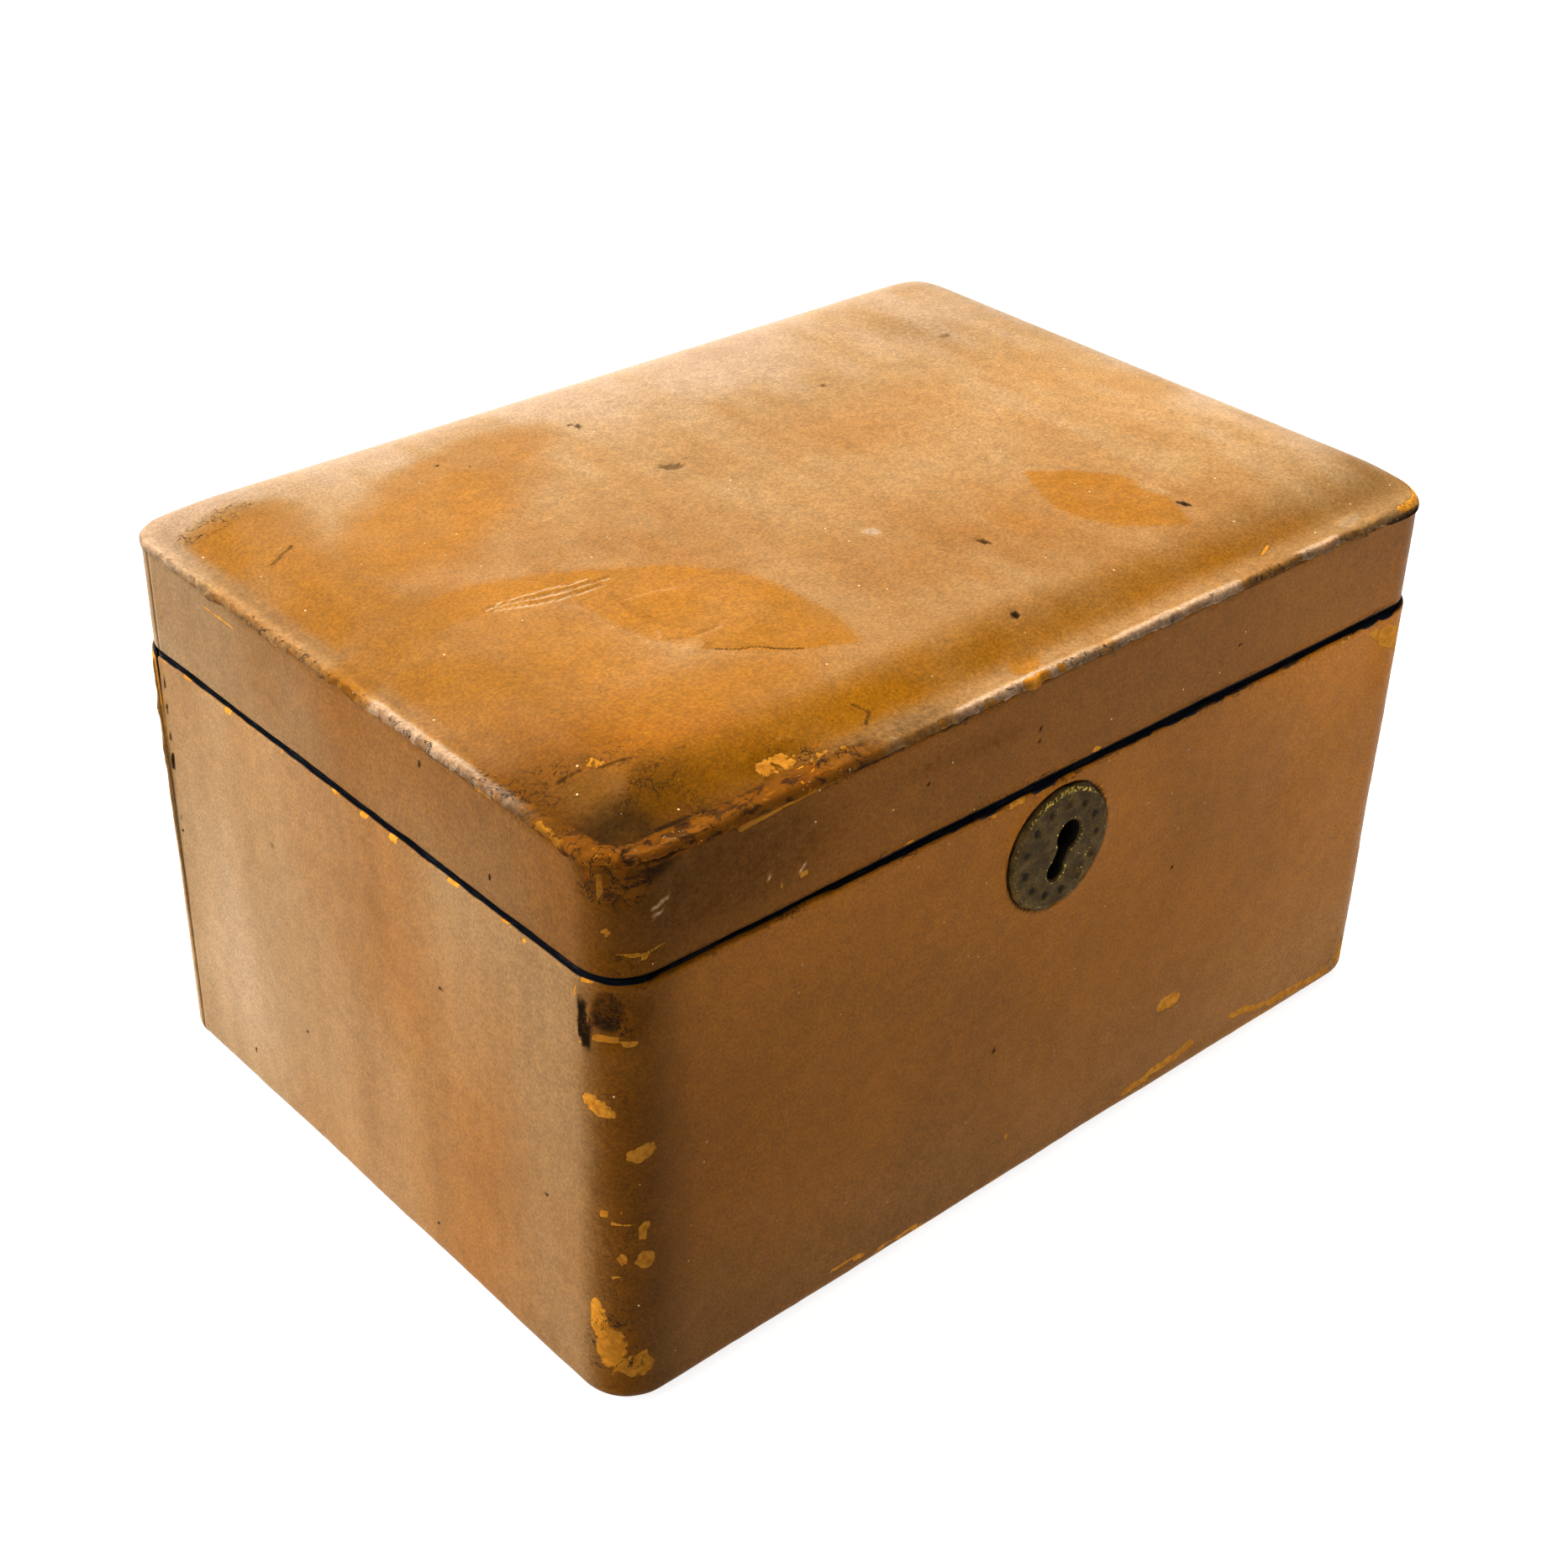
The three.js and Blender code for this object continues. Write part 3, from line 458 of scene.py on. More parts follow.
def leather_finish():
    """Smooth tanned calf: orange where clean, pale where bloomed and where a sheen is painted, ochre where
    its face is worn off; its tone also carries painted light and shade.
    """
    made = Finish("tan_leather", Sheen_Roughness=0.3)
    masks = made.node("ShaderNodeAttribute", attribute_name="paint")
    parts = made.node("ShaderNodeSeparateColor")
    made.feed(parts.inputs[0], masks.outputs["Color"])
    worn, grime_and_shade, bloom_and_sheen = parts.outputs[0], parts.outputs[1], parts.outputs[2]
    wiped_and_shaded = masks.outputs["Alpha"]
    tone_and_shading, ink_and_gap_shade, frayed = made.stored("tone_and_shading"), made.stored("ink_and_gap_shade"), made.stored("frayed")

    broad = made.noise(46 * MM, 3, 0.5)
    patch = made.noise(11 * MM, 4, 0.6)
    medium = made.noise(3.4 * MM, 4, 0.6, distort=0.6)
    fine = made.noise(1.3 * MM, 4, 0.65)
    grain = made.noise(0.45 * MM, 2, 0.6)
    brown = made.mix(made.band(broad, 0.35, 0.68), (0.222, 0.085, 0.0015), (0.262, 0.100, 0.0012))
    brown = made.mix(made.band(patch, 0.4, 0.75, 0, 0.18), brown, (0.280, 0.096, 0.002))
    # clean, wiped patches, and the painted shade of the lid's shoulders, take the saturated orange and lose
    # the bloom
    clean = made.mix(wiped_and_shaded, brown, (0.275, 0.115, 0.0010))
    # the pale colour of the bloom, which is also a painted sheen
    haze_and_sheen = made.plus(bloom_and_sheen, made.swing(patch, 0.22))
    haze_and_sheen = made.times(made.band(haze_and_sheen, 0.05, 1.0), made.minus(1.0, wiped_and_shaded, clamp=True))
    colour = made.mix(haze_and_sheen, clean, (0.305, 0.195, 0.086))
    # painted reflection: paler still where the painted sheen is strongest, as glare
    painted_glare = made.times(made.band(haze_and_sheen, 0.60, 1.0), made.band(bloom_and_sheen, 0.62, 1.0, 0, 0.9))
    colour = made.mix(painted_glare, colour, (0.350, 0.238, 0.150))
    pores = made.band(made.noise(0.6 * MM, 3, 0.7), 0.28, 0.74, 0.74, 1.18)
    mottled = made.times(pores, made.band(medium, 0.32, 0.68, 0.93, 1.06))
    colour = made.mix(1.0, colour, mottled, "MULTIPLY")

    # ragged outlines for the worn places
    ragged = made.plus(made.swing(fine, 0.36),
                       made.swing(medium, 0.5))
    bare = made.band(made.plus(worn, ragged), 0.49, 0.55)
    ochre = made.mix(made.band(fine, 0.38, 0.62), (0.44, 0.190, 0.017), (0.58, 0.275, 0.034))
    ochre = made.mix(made.band(medium, 0.56, 0.75, 0, 0.5), ochre, (0.25, 0.100, 0.010))
    # the tone, random shade of colour with painted light and shade, darkens the ochre and below it the whole
    # colour
    ochre = made.mix(1.0, ochre, made.band(tone_and_shading, 0.0, 1.0, 0.12, 1.0), "MULTIPLY")
    colour = made.mix(1.0, colour, tone_and_shading, "MULTIPLY")
    colour = made.mix(bare, colour, ochre)
    # dirt, and painted shade where the top leather's edge laps the side strip
    dirt_and_shade = made.band(made.plus(grime_and_shade, made.times(ragged, 0.9)), 0.18, 0.9)
    colour = made.mix(dirt_and_shade, colour, (0.020, 0.012, 0.006))
    lit = made.times(tone_and_shading, made.minus(1.0, dirt_and_shade), clamp=True)
    sheen = made.times(made.times(lit, lit), made.band(haze_and_sheen, 0.0, 1.0, 0.03, 0.16))
    made.feed(made.shader.inputs["Sheen Weight"], sheen)
    shine = made.times(lit, made.band(frayed, 0.0, 1.0, 0.14, 0.03))
    made.feed(made.shader.inputs["Specular IOR Level"], shine)

    # torn places show the leather's layers; frayed ones have thin cracks, lifted flakes and bits of ochre
    layers = made.noise(2.0 * MM, 4, 0.6, made.stretched(0.4, 0.6, 1.0), 0.5)
    torn = made.band(made.plus(frayed, made.times(ragged, 0.6)), 0.52, 0.82)
    layered = made.mix(made.band(layers, 0.42, 0.52), (0.050, 0.022, 0.008), (0.165, 0.064, 0.007))
    layered = made.mix(made.band(layers, 0.62, 0.69), layered, (0.30, 0.135, 0.013))
    layered = made.mix(made.band(medium, 0.56, 0.66, 0, 0.6), layered, (0.19, 0.058, 0.004))
    colour = made.over(colour, torn, 0.85, layered)
    crack = made.band(made.math("ABSOLUTE", made.minus(medium, 0.5)), 0.016, 0.004)
    crack = made.times(crack, made.band(patch, 0.46, 0.56))
    crack = made.times(crack, made.band(frayed, 0.25, 0.6))
    flake = made.band(made.plus(fine, made.times(frayed, 0.12)), 0.76, 0.80)
    flake = made.times(flake, made.band(frayed, 0.2, 0.4))
    bits = made.band(made.plus(medium, made.times(frayed, 0.08)), 0.74, 0.78)
    bits = made.times(bits, made.band(frayed, 0.2, 0.4))
    colour = made.over(colour, bits, 0.9, (0.44, 0.22, 0.022))
    colour = made.over(colour, flake, 0.7, (0.42, 0.27, 0.16))
    colour = made.over(colour, crack, 0.9, (0.018, 0.010, 0.008))
    # dark ink on edges, with a painted shadow of the gap between lid and body
    inked_and_gap_shade = made.band(made.plus(ink_and_gap_shade, made.times(ragged, 0.5)), 0.35, 0.6)
    colour = made.mix(inked_and_gap_shade, colour, (0.006, 0.008, 0.014))

    specks = made.cells(3.4 * MM)
    bright = made.node("ShaderNodeSeparateColor")
    made.feed(bright.inputs[0], specks.outputs["Color"])
    dust = made.times(made.band(specks.outputs["Distance"], 0.075, 0.04),
                     made.band(bright.outputs[0], 0.66, 0.72))
    colour = made.over(colour, dust, 0.8, (0.66, 0.50, 0.30))
    pits = made.times(made.band(specks.outputs["Distance"], 0.06, 0.03),
                     made.band(bright.outputs[1], 0.86, 0.90))
    colour = made.over(colour, pits, 0.7, (0.05, 0.025, 0.01))

    gloss = made.band(fine, 0.2, 0.8, 0.40, 0.50)
    gloss = made.plus(gloss, made.times(made.math("MAXIMUM", bare, dirt_and_shade), 0.32))
    gloss = made.minus(gloss, made.times(wiped_and_shaded, 0.08), clamp=True)
    relief = made.bump(grain, 0.05 * MM, 0.3)
    relief = made.bump(fine, 0.12 * MM, 0.22, relief)
    sunk = made.minus(made.times(flake, 0.8), made.plus(bare, crack))
    relief = made.bump(sunk, 0.20 * MM, 0.8, relief)
    return made.done(colour, gloss, relief)


def velvet_finish():
    made = Finish("velvet", Sheen_Weight=0.7, Sheen_Roughness=0.35, Specular_IOR_Level=0.15)
    made.shader.inputs["Sheen Tint"].default_value = (0.45, 0.52, 0.8, 1)
    pile = made.noise(0.35 * MM, 2, 0.7)
    brushed = made.noise(17 * MM, 3, 0.55, distort=0.8)
    colour = made.mix(made.band(brushed, 0.36, 0.66), (0.006, 0.010, 0.032), (0.020, 0.030, 0.080))
    colour = made.mix(made.band(pile, 0.3, 0.75, 0, 0.6), colour, (0.034, 0.046, 0.105))
    relief = made.bump(brushed, 0.5 * MM, 0.25, made.bump(pile, 0.18 * MM, 0.6))
    return made.done(colour, made.band(pile, 0.2, 0.8, 0.78, 0.95), relief)


def edging_finish():
    made = Finish("dark_edging", Specular_IOR_Level=0.3)
    weave = made.noise(0.6 * MM, 3, 0.6)
    rubbed = made.noise(7 * MM, 4, 0.65)
    colour = made.mix(made.band(rubbed, 0.5, 0.72), (0.007, 0.009, 0.016), (0.045, 0.042, 0.048))
    return made.done(colour, made.band(rubbed, 0.3, 0.7, 0.5, 0.8), made.bump(weave, 0.1 * MM, 0.5))


def cloth_finish():
    made = Finish("base_cloth", Sheen_Weight=0.25, Specular_IOR_Level=0.2)
    warp = made.node("ShaderNodeTexWave", wave_type="BANDS", bands_direction="X")
    weft = made.node("ShaderNodeTexWave", wave_type="BANDS", bands_direction="Y")
    for thread in (warp, weft):
        made.feed(thread.inputs["Vector"], made.place)
        thread.inputs["Scale"].default_value = 1 / (2.6 * MM)
        thread.inputs["Distortion"].default_value = 0.5
    weave = made.math("MAXIMUM", warp.outputs["Fac"], weft.outputs["Fac"])
    fluff = made.noise(5 * MM, 4, 0.7)
    colour = made.mix(made.band(fluff, 0.35, 0.7), (0.030, 0.020, 0.013), (0.062, 0.044, 0.028))
    colour = made.over(colour, weave, 0.35, (0.095, 0.072, 0.05))
    return made.done(colour, 0.92, made.bump(weave, 0.15 * MM, 0.6))


def wadding_finish():
    made = Finish("wadding", Sheen_Weight=0.3, Specular_IOR_Level=0.1)
    fibre = made.noise(0.9 * MM, 5, 0.75, made.stretched(1, 3, 1), 1.5)
    clump = made.noise(9 * MM, 3)
    colour = made.mix(made.band(clump, 0.35, 0.7), (0.56, 0.49, 0.36), (0.74, 0.68, 0.54))
    colour = made.mix(made.band(fibre, 0.35, 0.7, 0, 0.5), colour, (0.86, 0.81, 0.68))
    return made.done(colour, 0.95, made.bump(fibre, 0.5 * MM, 0.7))


def pine_finish():
    made = Finish("pine", Specular_IOR_Level=0.35)
    along = made.stretched(0.12, 1.0, 1.0)
    rings = made.node("ShaderNodeTexWave", wave_type="BANDS", bands_direction="DIAGONAL")
    made.feed(rings.inputs["Vector"], along)
    rings.inputs["Scale"].default_value = 1 / (9 * MM)
    rings.inputs["Distortion"].default_value = 5.0
    rings.inputs["Detail"].default_value = 3.0
    fibre = made.noise(0.5 * MM, 4, 0.7, made.stretched(0.06, 1, 1))
    colour = made.mix(rings.outputs["Fac"], (0.50, 0.29, 0.12), (0.62, 0.41, 0.20))
    colour = made.mix(made.band(fibre, 0.4, 0.7, 0, 0.45), colour, (0.33, 0.17, 0.06))
    return made.done(colour, made.band(fibre, 0.3, 0.7, 0.55, 0.72), made.bump(fibre, 0.1 * MM, 0.5))


def metal_finish(name, deep, bright, tarnish, shine):
    """Old metal: bright where it is rubbed, deeper in the hollows, with spots of tarnish."""
    made = Finish(name, Metallic=1.0)
    cloud = made.noise(3.0 * MM, 4, 0.6)
    fleck = made.noise(0.7 * MM, 3, 0.7)
    brushed = made.noise(0.25 * MM, 2, 0.6, made.stretched(0.08, 1, 1))
    colour = made.mix(made.band(cloud, 0.35, 0.65), deep, bright)
    spots = made.band(made.plus(fleck, made.times(cloud, 0.4)), 0.72, 0.86)
    colour = made.over(colour, spots, 0.8, tarnish)
    rough = made.plus(made.band(cloud, 0.3, 0.7, shine, shine + 0.14), made.times(spots, 0.3))
    metallic = made.minus(1.0, made.times(spots, 0.7))
    return made.done(colour, rough, made.bump(brushed, 0.03 * MM, 0.4), metallic)


def bronze_finish():
    """The keyhole plate: dark olive patina over brass, with gold glints along its edges."""
    made = Finish("aged_brass", Specular_IOR_Level=0.13)
    cloud = made.noise(3.2 * MM, 4, 0.65)
    fleck = made.noise(0.55 * MM, 4, 0.7)
    rubbed = made.stored("rubbed")
    colour = made.mix(made.band(cloud, 0.34, 0.68), (0.066, 0.038, 0.009), (0.128, 0.077, 0.014))
    colour = made.mix(made.band(fleck, 0.45, 0.7, 0, 0.7), colour, (0.030, 0.019, 0.009))
    colour = made.mix(made.band(rubbed, -0.08, -0.35), colour, (0.012, 0.010, 0.006))
    glint = made.plus(rubbed, made.swing(fleck, 1.7))
    glint = made.band(glint, 0.48, 0.64)
    colour = made.mix(glint, colour, (0.62, 0.47, 0.10))
    metallic = made.times(glint, 0.6)
    rough = made.minus(made.band(cloud, 0.3, 0.7, 0.62, 0.48), made.times(glint, 0.2))
    relief = made.bump(cloud, 0.5 * MM, 0.5, made.bump(fleck, 0.16 * MM, 0.9))
    return made.done(colour, rough, relief, metallic)


FINISHES = {
    "tan_leather": leather_finish(),
    "velvet": velvet_finish(),
    "dark_edging": edging_finish(),
    "base_cloth": cloth_finish(),
    "wadding": wadding_finish(),
    "pine": pine_finish(),
    "aged_brass": bronze_finish(),
    "brass": metal_finish("brass", (0.30, 0.19, 0.055), (0.55, 0.38, 0.13), (0.07, 0.045, 0.02), 0.3),
    "steel": metal_finish("steel", (0.22, 0.21, 0.20), (0.42, 0.41, 0.40), (0.09, 0.05, 0.03), 0.28),
}


def dress(piece, body, slot, *nodes):
    """Gives a piece its finish, body and slot, and hides the frame's nodes that it stands for."""
    piece.data.materials.clear()
    piece.data.materials.append(FINISHES[slot])
    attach(piece, body)
    if nodes:
        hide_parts(*nodes)
    return piece


# ---- leather of the body ----
def body_profile():
    """The skin's section as (inset, height): under the base, up outside, over the rim and down inside."""
    foot = wrap_low.z
    rim = 0.45 * MM
    outside = stepped(
        (TURNED_UNDER, foot),
        (0.8 * MM, quarter((BASE_ROUND, foot + BASE_ROUND), BASE_ROUND, 270, 180, 9)),
        (0.85 * MM, [(0, BODY_TOP - 3.5 * MM)]),
        (0.4 * MM, [*quarter((rim, BODY_TOP - rim), rim, 180, 90, 5), (LEATHER, BODY_TOP)]),
    )
    inside = [
        (LEATHER, foot + BASE_ROUND),
        *quarter((BASE_ROUND, foot + BASE_ROUND), BASE_ROUND - LEATHER, 180, 270, 4),
        (TURNED_UNDER, foot + LEATHER),
    ]
    return outside + inside


def from_plate(points):
    """Distance from the axis of the keyhole plate."""
    return np.hypot(points[:, 0] - PLATE_CENTRE.x, points[:, 2] - PLATE_CENTRE.z)


def body_paint(piece, is_back=False):
    """Wear, dirt, bloom with painted sheen, tone with painted light and shade, and dark edging with the gap's
    painted shadow, of the body's leather, by girth along it and height up it, in mm.
    """
    points = coordinates(piece)
    girth, inset, _ = girth_of(points, BODY_SHAPE)
    girth = round_the_back(girth, is_back)
    inset = inset / MM
    g, z = warped(points, girth / MM, points[:, 2] / MM, 0.55, 3.2 * MM)
    spot, line_along = partial(blot, g, z), partial(stroke, g, z)
    left, front = smooth(g, 2, -7), smooth(g, -4, 6)
    far = np.abs(g)

    # the bottom edge and the corners, rubbed through to ochre
    base = smooth(z, 6.5, 2.0)
    patchy = noise(points, 14 * MM, 2, 3.1)
    worn = base * (0.30 + 0.42 * patchy * front)
    worn += base * smooth(g, 125, 150) * 0.22 * front
    worn = union(
        worn,
        1.1 * line_along([(130, 4.5), (139, 6), (150, 7)], 1.5),
        1.05 * line_along([(163, 7.8), (172, 6), (180, 4.8), (196, 4.2)], 1.4),
        0.85 * line_along([(48, 5.6), (56, 5.0)], 1.1),
        0.75 * line_along([(60, 3.2), (70, 3.6)], 0.9),
        1.2 * spot((140.3, 22.7), (3.6, 2.0), -4, 0.3),
        0.85 * spot((94, 13), (0.8, 1.2)),
        0.95 * spot((-3.0, 68), (3.2, 1.6), -28, 0.35),
        0.72 * spot((4.2, 58.5), (3.0, 1.9), 14),
        0.90 * spot((-2.5, 44.8), (0.9, 0.9)),
        0.66 * line_along([(-1, 43.2), (2.5, 42.6)], 0.9),
        0.74 * spot((4.4, 41.2), (1.3, 2.2)),
        0.78 * spot((4.2, 34.6), (1.7, 2.6)),
        0.66 * spot((0.4, 35.2), (1.1, 1.6)),
        0.80 * line_along([(-1.8, 30.9), (0.2, 30.5)], 0.7),
        0.80 * spot((-4.2, 20.5), (1.8, 4.5)),
        0.66 * spot((-1.8, 13.5), (3.4, 6.2), 0, 1.0),
        0.62 * spot((2.6, 9.5), (4.0, 3.4), 0, 0.8),
        0.80 * spot((4.0, 11.8), (1.0, 1.6)),
        0.80 * leaf(g, z, (190, 91), (206, 84), 2.4, 0.8), 0.66 * spot((202, 86), (2.5, 5), 0, 0.9),
        0.62 * spot((201, 7), (3, 4.5), 0, 0.9),
        0.78 * spot((-1.5, 82.4), (2.6, 1.2)), 0.70 * line_along([(-7.2, 91), (-6.6, 86), (-6.2, 80)], 0.5),
        0.70 * spot((2.2, 81.4), (1.8, 1.0)),
    )
    # small chips along the rim under the gap
    chips = noise(unrolled(girth, points[:, 2] * 0.3), 5 * MM, 2, 9.7)
    worn = union(worn, smooth(z, 90.6, 92.4) * smooth(chips, 0.45, 0.8) * 0.8 * (inset < 0.6))

    # dirt in the torn front left corner and along the rim
    grime_and_shade = union(
        0.90 * spot((-5.4, 84.5), (1.2, 5.4), 8, 0.6),
        0.95 * spot((-1.2, 87.6), (2.8, 4.0), 0, 0.9),
        0.40 * spot((2.0, 86), (5.5, 7), 0, 1.0),
        0.95 * close_to(g, -136.9, 0.8, 0.2) * close_to(z, 70, 21, 17)
        * smooth(noise(points, (9 * MM, 9 * MM, 2.2 * MM), 2, 5.7), -0.2, 0.15),
        # darker along the bottom few mm
        0.55 * smooth(z, 3.4, 1.2),
        0.18 * spot((24, 64), (14, 7), 18, 1.6),
        0.30 * spot((34, 75.5), (5.5, 4), 0, 0.6) * (1 - spot((34, 75.5), (3.6, 2.6), 0, 0.6)),
        *[0.9 * spot(place, (0.55, 0.5)) for place in (
            (-17.5, 40.5), (-74, 83), (-46, 68), (-95, 28), (-52, 9), (-117, 10), (88, 37), (136, 58),
        )],
        0.40 * spot((-101, 69), (1.4, 1.0)),
    )
    around = np.where(front > 0.5, from_plate(points) / MM, FAR_AWAY)
    # a dark ring just round the plate's edge
    grime_and_shade = union(grime_and_shade, 0.75 * smooth(around, 13.9, 13.0))
    worn = union(worn, 0.7 * close_to(around, 13.6, 0.5, 0.1)
                 * smooth(points[:, 0] / MM, 4, 9) * smooth(z, 70, 76))

    # bloom with painted sheen: the left side pale, paler towards the back
    bloom_and_sheen = left * (0.50 + 0.14 * noise(points, (30 * MM, 22 * MM, 60 * MM), 2, 5.5)
                    + 0.20 * smooth(far, 60, 130))
    bloom_and_sheen -= 0.10 * union(spot((-62, 62), (16, 14), 0, 1.6), spot((-32, 34), (14, 18), 0, 1.6))
    # painted highlight: a pale line down the front right corner
    bloom_and_sheen += 0.22 * smooth(g, 199, 206) * smooth(g, 235, 210)
    # painted light: the front paler towards the bottom and the right
    bloom_and_sheen += front * (0.05 + 0.24 * smooth(z, 55, 8) + 0.08 * smooth(g, 90, 190))
    streaks = noise(points, (60 * MM, 4.5 * MM, 90 * MM), 2, 1.7) * left
    tone_and_shading = 1 + 0.07 * streaks + 0.06 * noise(points, 34 * MM, 2, 8.2)
    # painted shade: darker round the front left corner
    tone_and_shading *= 1 - 0.38 * close_to(g, 3.5, 13, 1)
    # painted light and shade: the front darker at its left end and lighter towards the right; the left side a
    # little darker
    tone_and_shading *= 1 + front * np.interp(g, [8, 60, 130, 200], [-0.22, 0.02, 0.20, 0.48]) - 0.06 * left
    # the front lighter towards the top
    tone_and_shading *= 1 + 0.12 * front * smooth(z, 60, 88)
    # painted shade: the left side darker towards the front
    tone_and_shading *= 1 - 0.14 * left * smooth(g, -60, -10)
    back = smooth(far, 138, 148) * (g < 0) + smooth(g, 338, 346)
    line = unrolled(girth)
    pale = smooth(z, 91.9, 92.7) * smooth(noise(line, 3 * MM, 2, 8.3), 0.0, 0.5) * left
    worn = union(worn, 0.75 * pale)
    covered = 1 - 0.8 * close_to(g, 26, 24, 14)
    # dark edging on the rim's top, and on the front's rim a dark line that is partly painted shadow of the
    # gap
    ink_and_gap_shade = union(
        smooth(inset, 0.2, 0.6) * (z > 91) * covered,
        front * smooth(z, 92.1, 92.9) * (0.45 + 0.3 * noise(line, 7 * MM, 2, 4.4)) * smooth(g, 14, 56),
    )
    frayed = union(
        0.64 * spot((-1.5, 86), (6.0, 7), 0, 0.8), 0.62 * spot((-1.5, 12), (6.0, 13), 0, 0.9),
        0.40 * close_to(g, -0.5, 6, 3) * smooth(z, 80, 70), 0.45 * smooth(z, 5, 2) * front,
        0.45 * spot((199, 84), (8, 11), 0, 0.8), 0.45 * spot((199, 6), (7, 8), 0, 0.8),
        0.50 * smooth(z, 91.2, 92.2) * front,
    )
    paint(piece, worn, grime_and_shade, bloom_and_sheen * (1 - 0.5 * back), 0, tone_and_shading * (1 - 0.08 * back), ink_and_gap_shade, frayed)


def body_relief(piece):
    """Small rises and falls of the body's leather: pulls over the boards, chips and the seat of the plate."""
    points, facing = coordinates(piece), normals(piece)
    girth, inset, out = girth_of(points, BODY_SHAPE)
    g, z = girth / MM, points[:, 2] / MM
    spot, line_along = partial(blot, g, z), partial(stroke, g, z)
    outward = (facing[:, :2] * out).sum(1)
    outside = (outward > 0.25) | ((facing[:, 2] < -0.5) & (z < 2))
    rise = 0.16 * noise(points, 24 * MM, 2, 2.2) + 0.035 * noise(points, 2.6 * MM, 2, 4.4)
    rise -= 0.20 * spot((-2.5, 85), (5.5, 5.5), 0, 0.8) * (0.6 + noise(points, 1.8 * MM, 2, 6.1))
    rise += 0.30 * line_along([(-6.6, 90), (-6.3, 84), (-5.0, 78)], 0.9)
    rise -= 0.14 * spot((140.3, 22.7), (3.6, 2.0), -4, 0.4)
    rise += 0.05 * close_to(z, 6, 3, 0) * noise(points, 3 * MM, 2, 7.7)
    around = np.where(points[:, 1] < 0, from_plate(points) / MM, FAR_AWAY)
    rise += 0.22 * close_to(around, 13.7, 0.9, 0) - 0.42 * smooth(around, 13.2, 12.7)
    points += facing * (rise * outside * MM)[:, None]
    rim = smooth(points[:, 2] / MM, 91.6, 92.8)
    points[:, 2] += rim * 0.14 * MM * noise(unrolled(girth), 3.5 * MM, 3, 1.1)
    move_to(piece, points)


def lock_opening():
    """What the keyhole needs open behind its plate."""
    middle = (PLATE_CENTRE.x + 0.7 * MM, PLATE_CENTRE.z - 1.0 * MM)
    opening_radius, reach = 7.6 * MM, 3 * MM
    return prism("opening", circle(middle, opening_radius, 48), 1, wrap_low.y - reach, wrap_low.y + reach)


def hinge_rooms():
    """The notches that each hinge's knuckles take out of the leather at the back."""
    room_radius, end_gap = 2.4 * MM, 0.1 * MM
    rooms = []
    for low, high in hinge_boxes:
        axis = (low + high) / 2
        section = circle((axis.y, axis.z), room_radius, 32)
        rooms.append(prism("room", section, 0, low.x + end_gap, high.x - end_gap))
    return rooms


def girth_lengths(start, end, shape, step):
    """Evenly spaced lengths between two girths, both in metres."""
    count = math.ceil((end - start) / step)
    return np.linspace(start, end, count + 1) + girth_zero(shape)


def side_reach(shape):
    """Girth of the far ends of the left and right sides, where the back corners begin."""
    half_x, half_y, radius = shape
    arc, flat_x, flat_y = radius * math.pi / 2, half_x - radius, half_y - radius
    return -(arc / 2 + 2 * flat_y), arc / 2 + 2 * flat_x + arc + 2 * flat_y


def add_body_leather():
    """The wrap round the front and both sides, and the back's own panel."""
    left_end, right_end = side_reach(BODY_SHAPE)
    full = outline_length(BODY_SHAPE)
    lap, fine, coarse = 0.35 * MM, 0.82 * MM, 1.0 * MM
    wrap = swept("body_leather", girth_lengths(left_end - lap, right_end + lap, BODY_SHAPE, fine),
                 BODY_SHAPE, body_profile())
    cut(wrap, lock_opening())
    body_relief(wrap)
    body_paint(wrap)
    dress(wrap, "box", "tan_leather", "body_leather_wrap")

    back = swept("back_leather",
                 girth_lengths(right_end + 2 * lap, left_end - 2 * lap + full, BODY_SHAPE, coarse),
                 BODY_SHAPE, body_profile())
    cut(back, *hinge_rooms())
    body_relief(back)
    body_paint(back, True)
    lift_back_edges(back, left_end, right_end)
    dress(back, "box", "tan_leather", "back_leather_panel")


def lift_back_edges(panel, left_end, right_end):
    """Lets the back panel's edges stand a little proud of the corners that they lap."""
    points, facing = coordinates(panel), normals(panel)
    girth, _, out = girth_of(points, BODY_SHAPE)
    full = outline_length(BODY_SHAPE)
    from_edge = np.minimum(np.mod(left_end - girth, full), np.mod(girth - right_end, full)) / MM
    height = points[:, 2] / MM
    lift = smooth(from_edge, 4.5, 0.4) * np.interp(height, [20, 50, 88, 93], [0.15, 0.45, 0.95, 0.6])
    lift *= 1 + 0.35 * noise(points, (20 * MM, 20 * MM, 3 * MM), 2, 3.9)
    points[:, :2] += out * (lift * MM)[:, None]
    move_to(panel, points)


# ---- leather of the lid ----
STRIP_TOP = LID_RIM + 1.0 * MM         # the side strip turns over the arris here, under the top leather
FLANGE = LID_RIM + 2.1 * MM            # the top leather's flat margin
DOME = crown_high.z - FLANGE
MARGIN, SHOULDER, FALL = 4.0 * MM, 16.0 * MM, 14.0 * MM   # widths of the top's parts round its middle
EDGE_ROUND = 1.1 * MM
SHEET = 0.8 * MM                       # thickness of the top leather

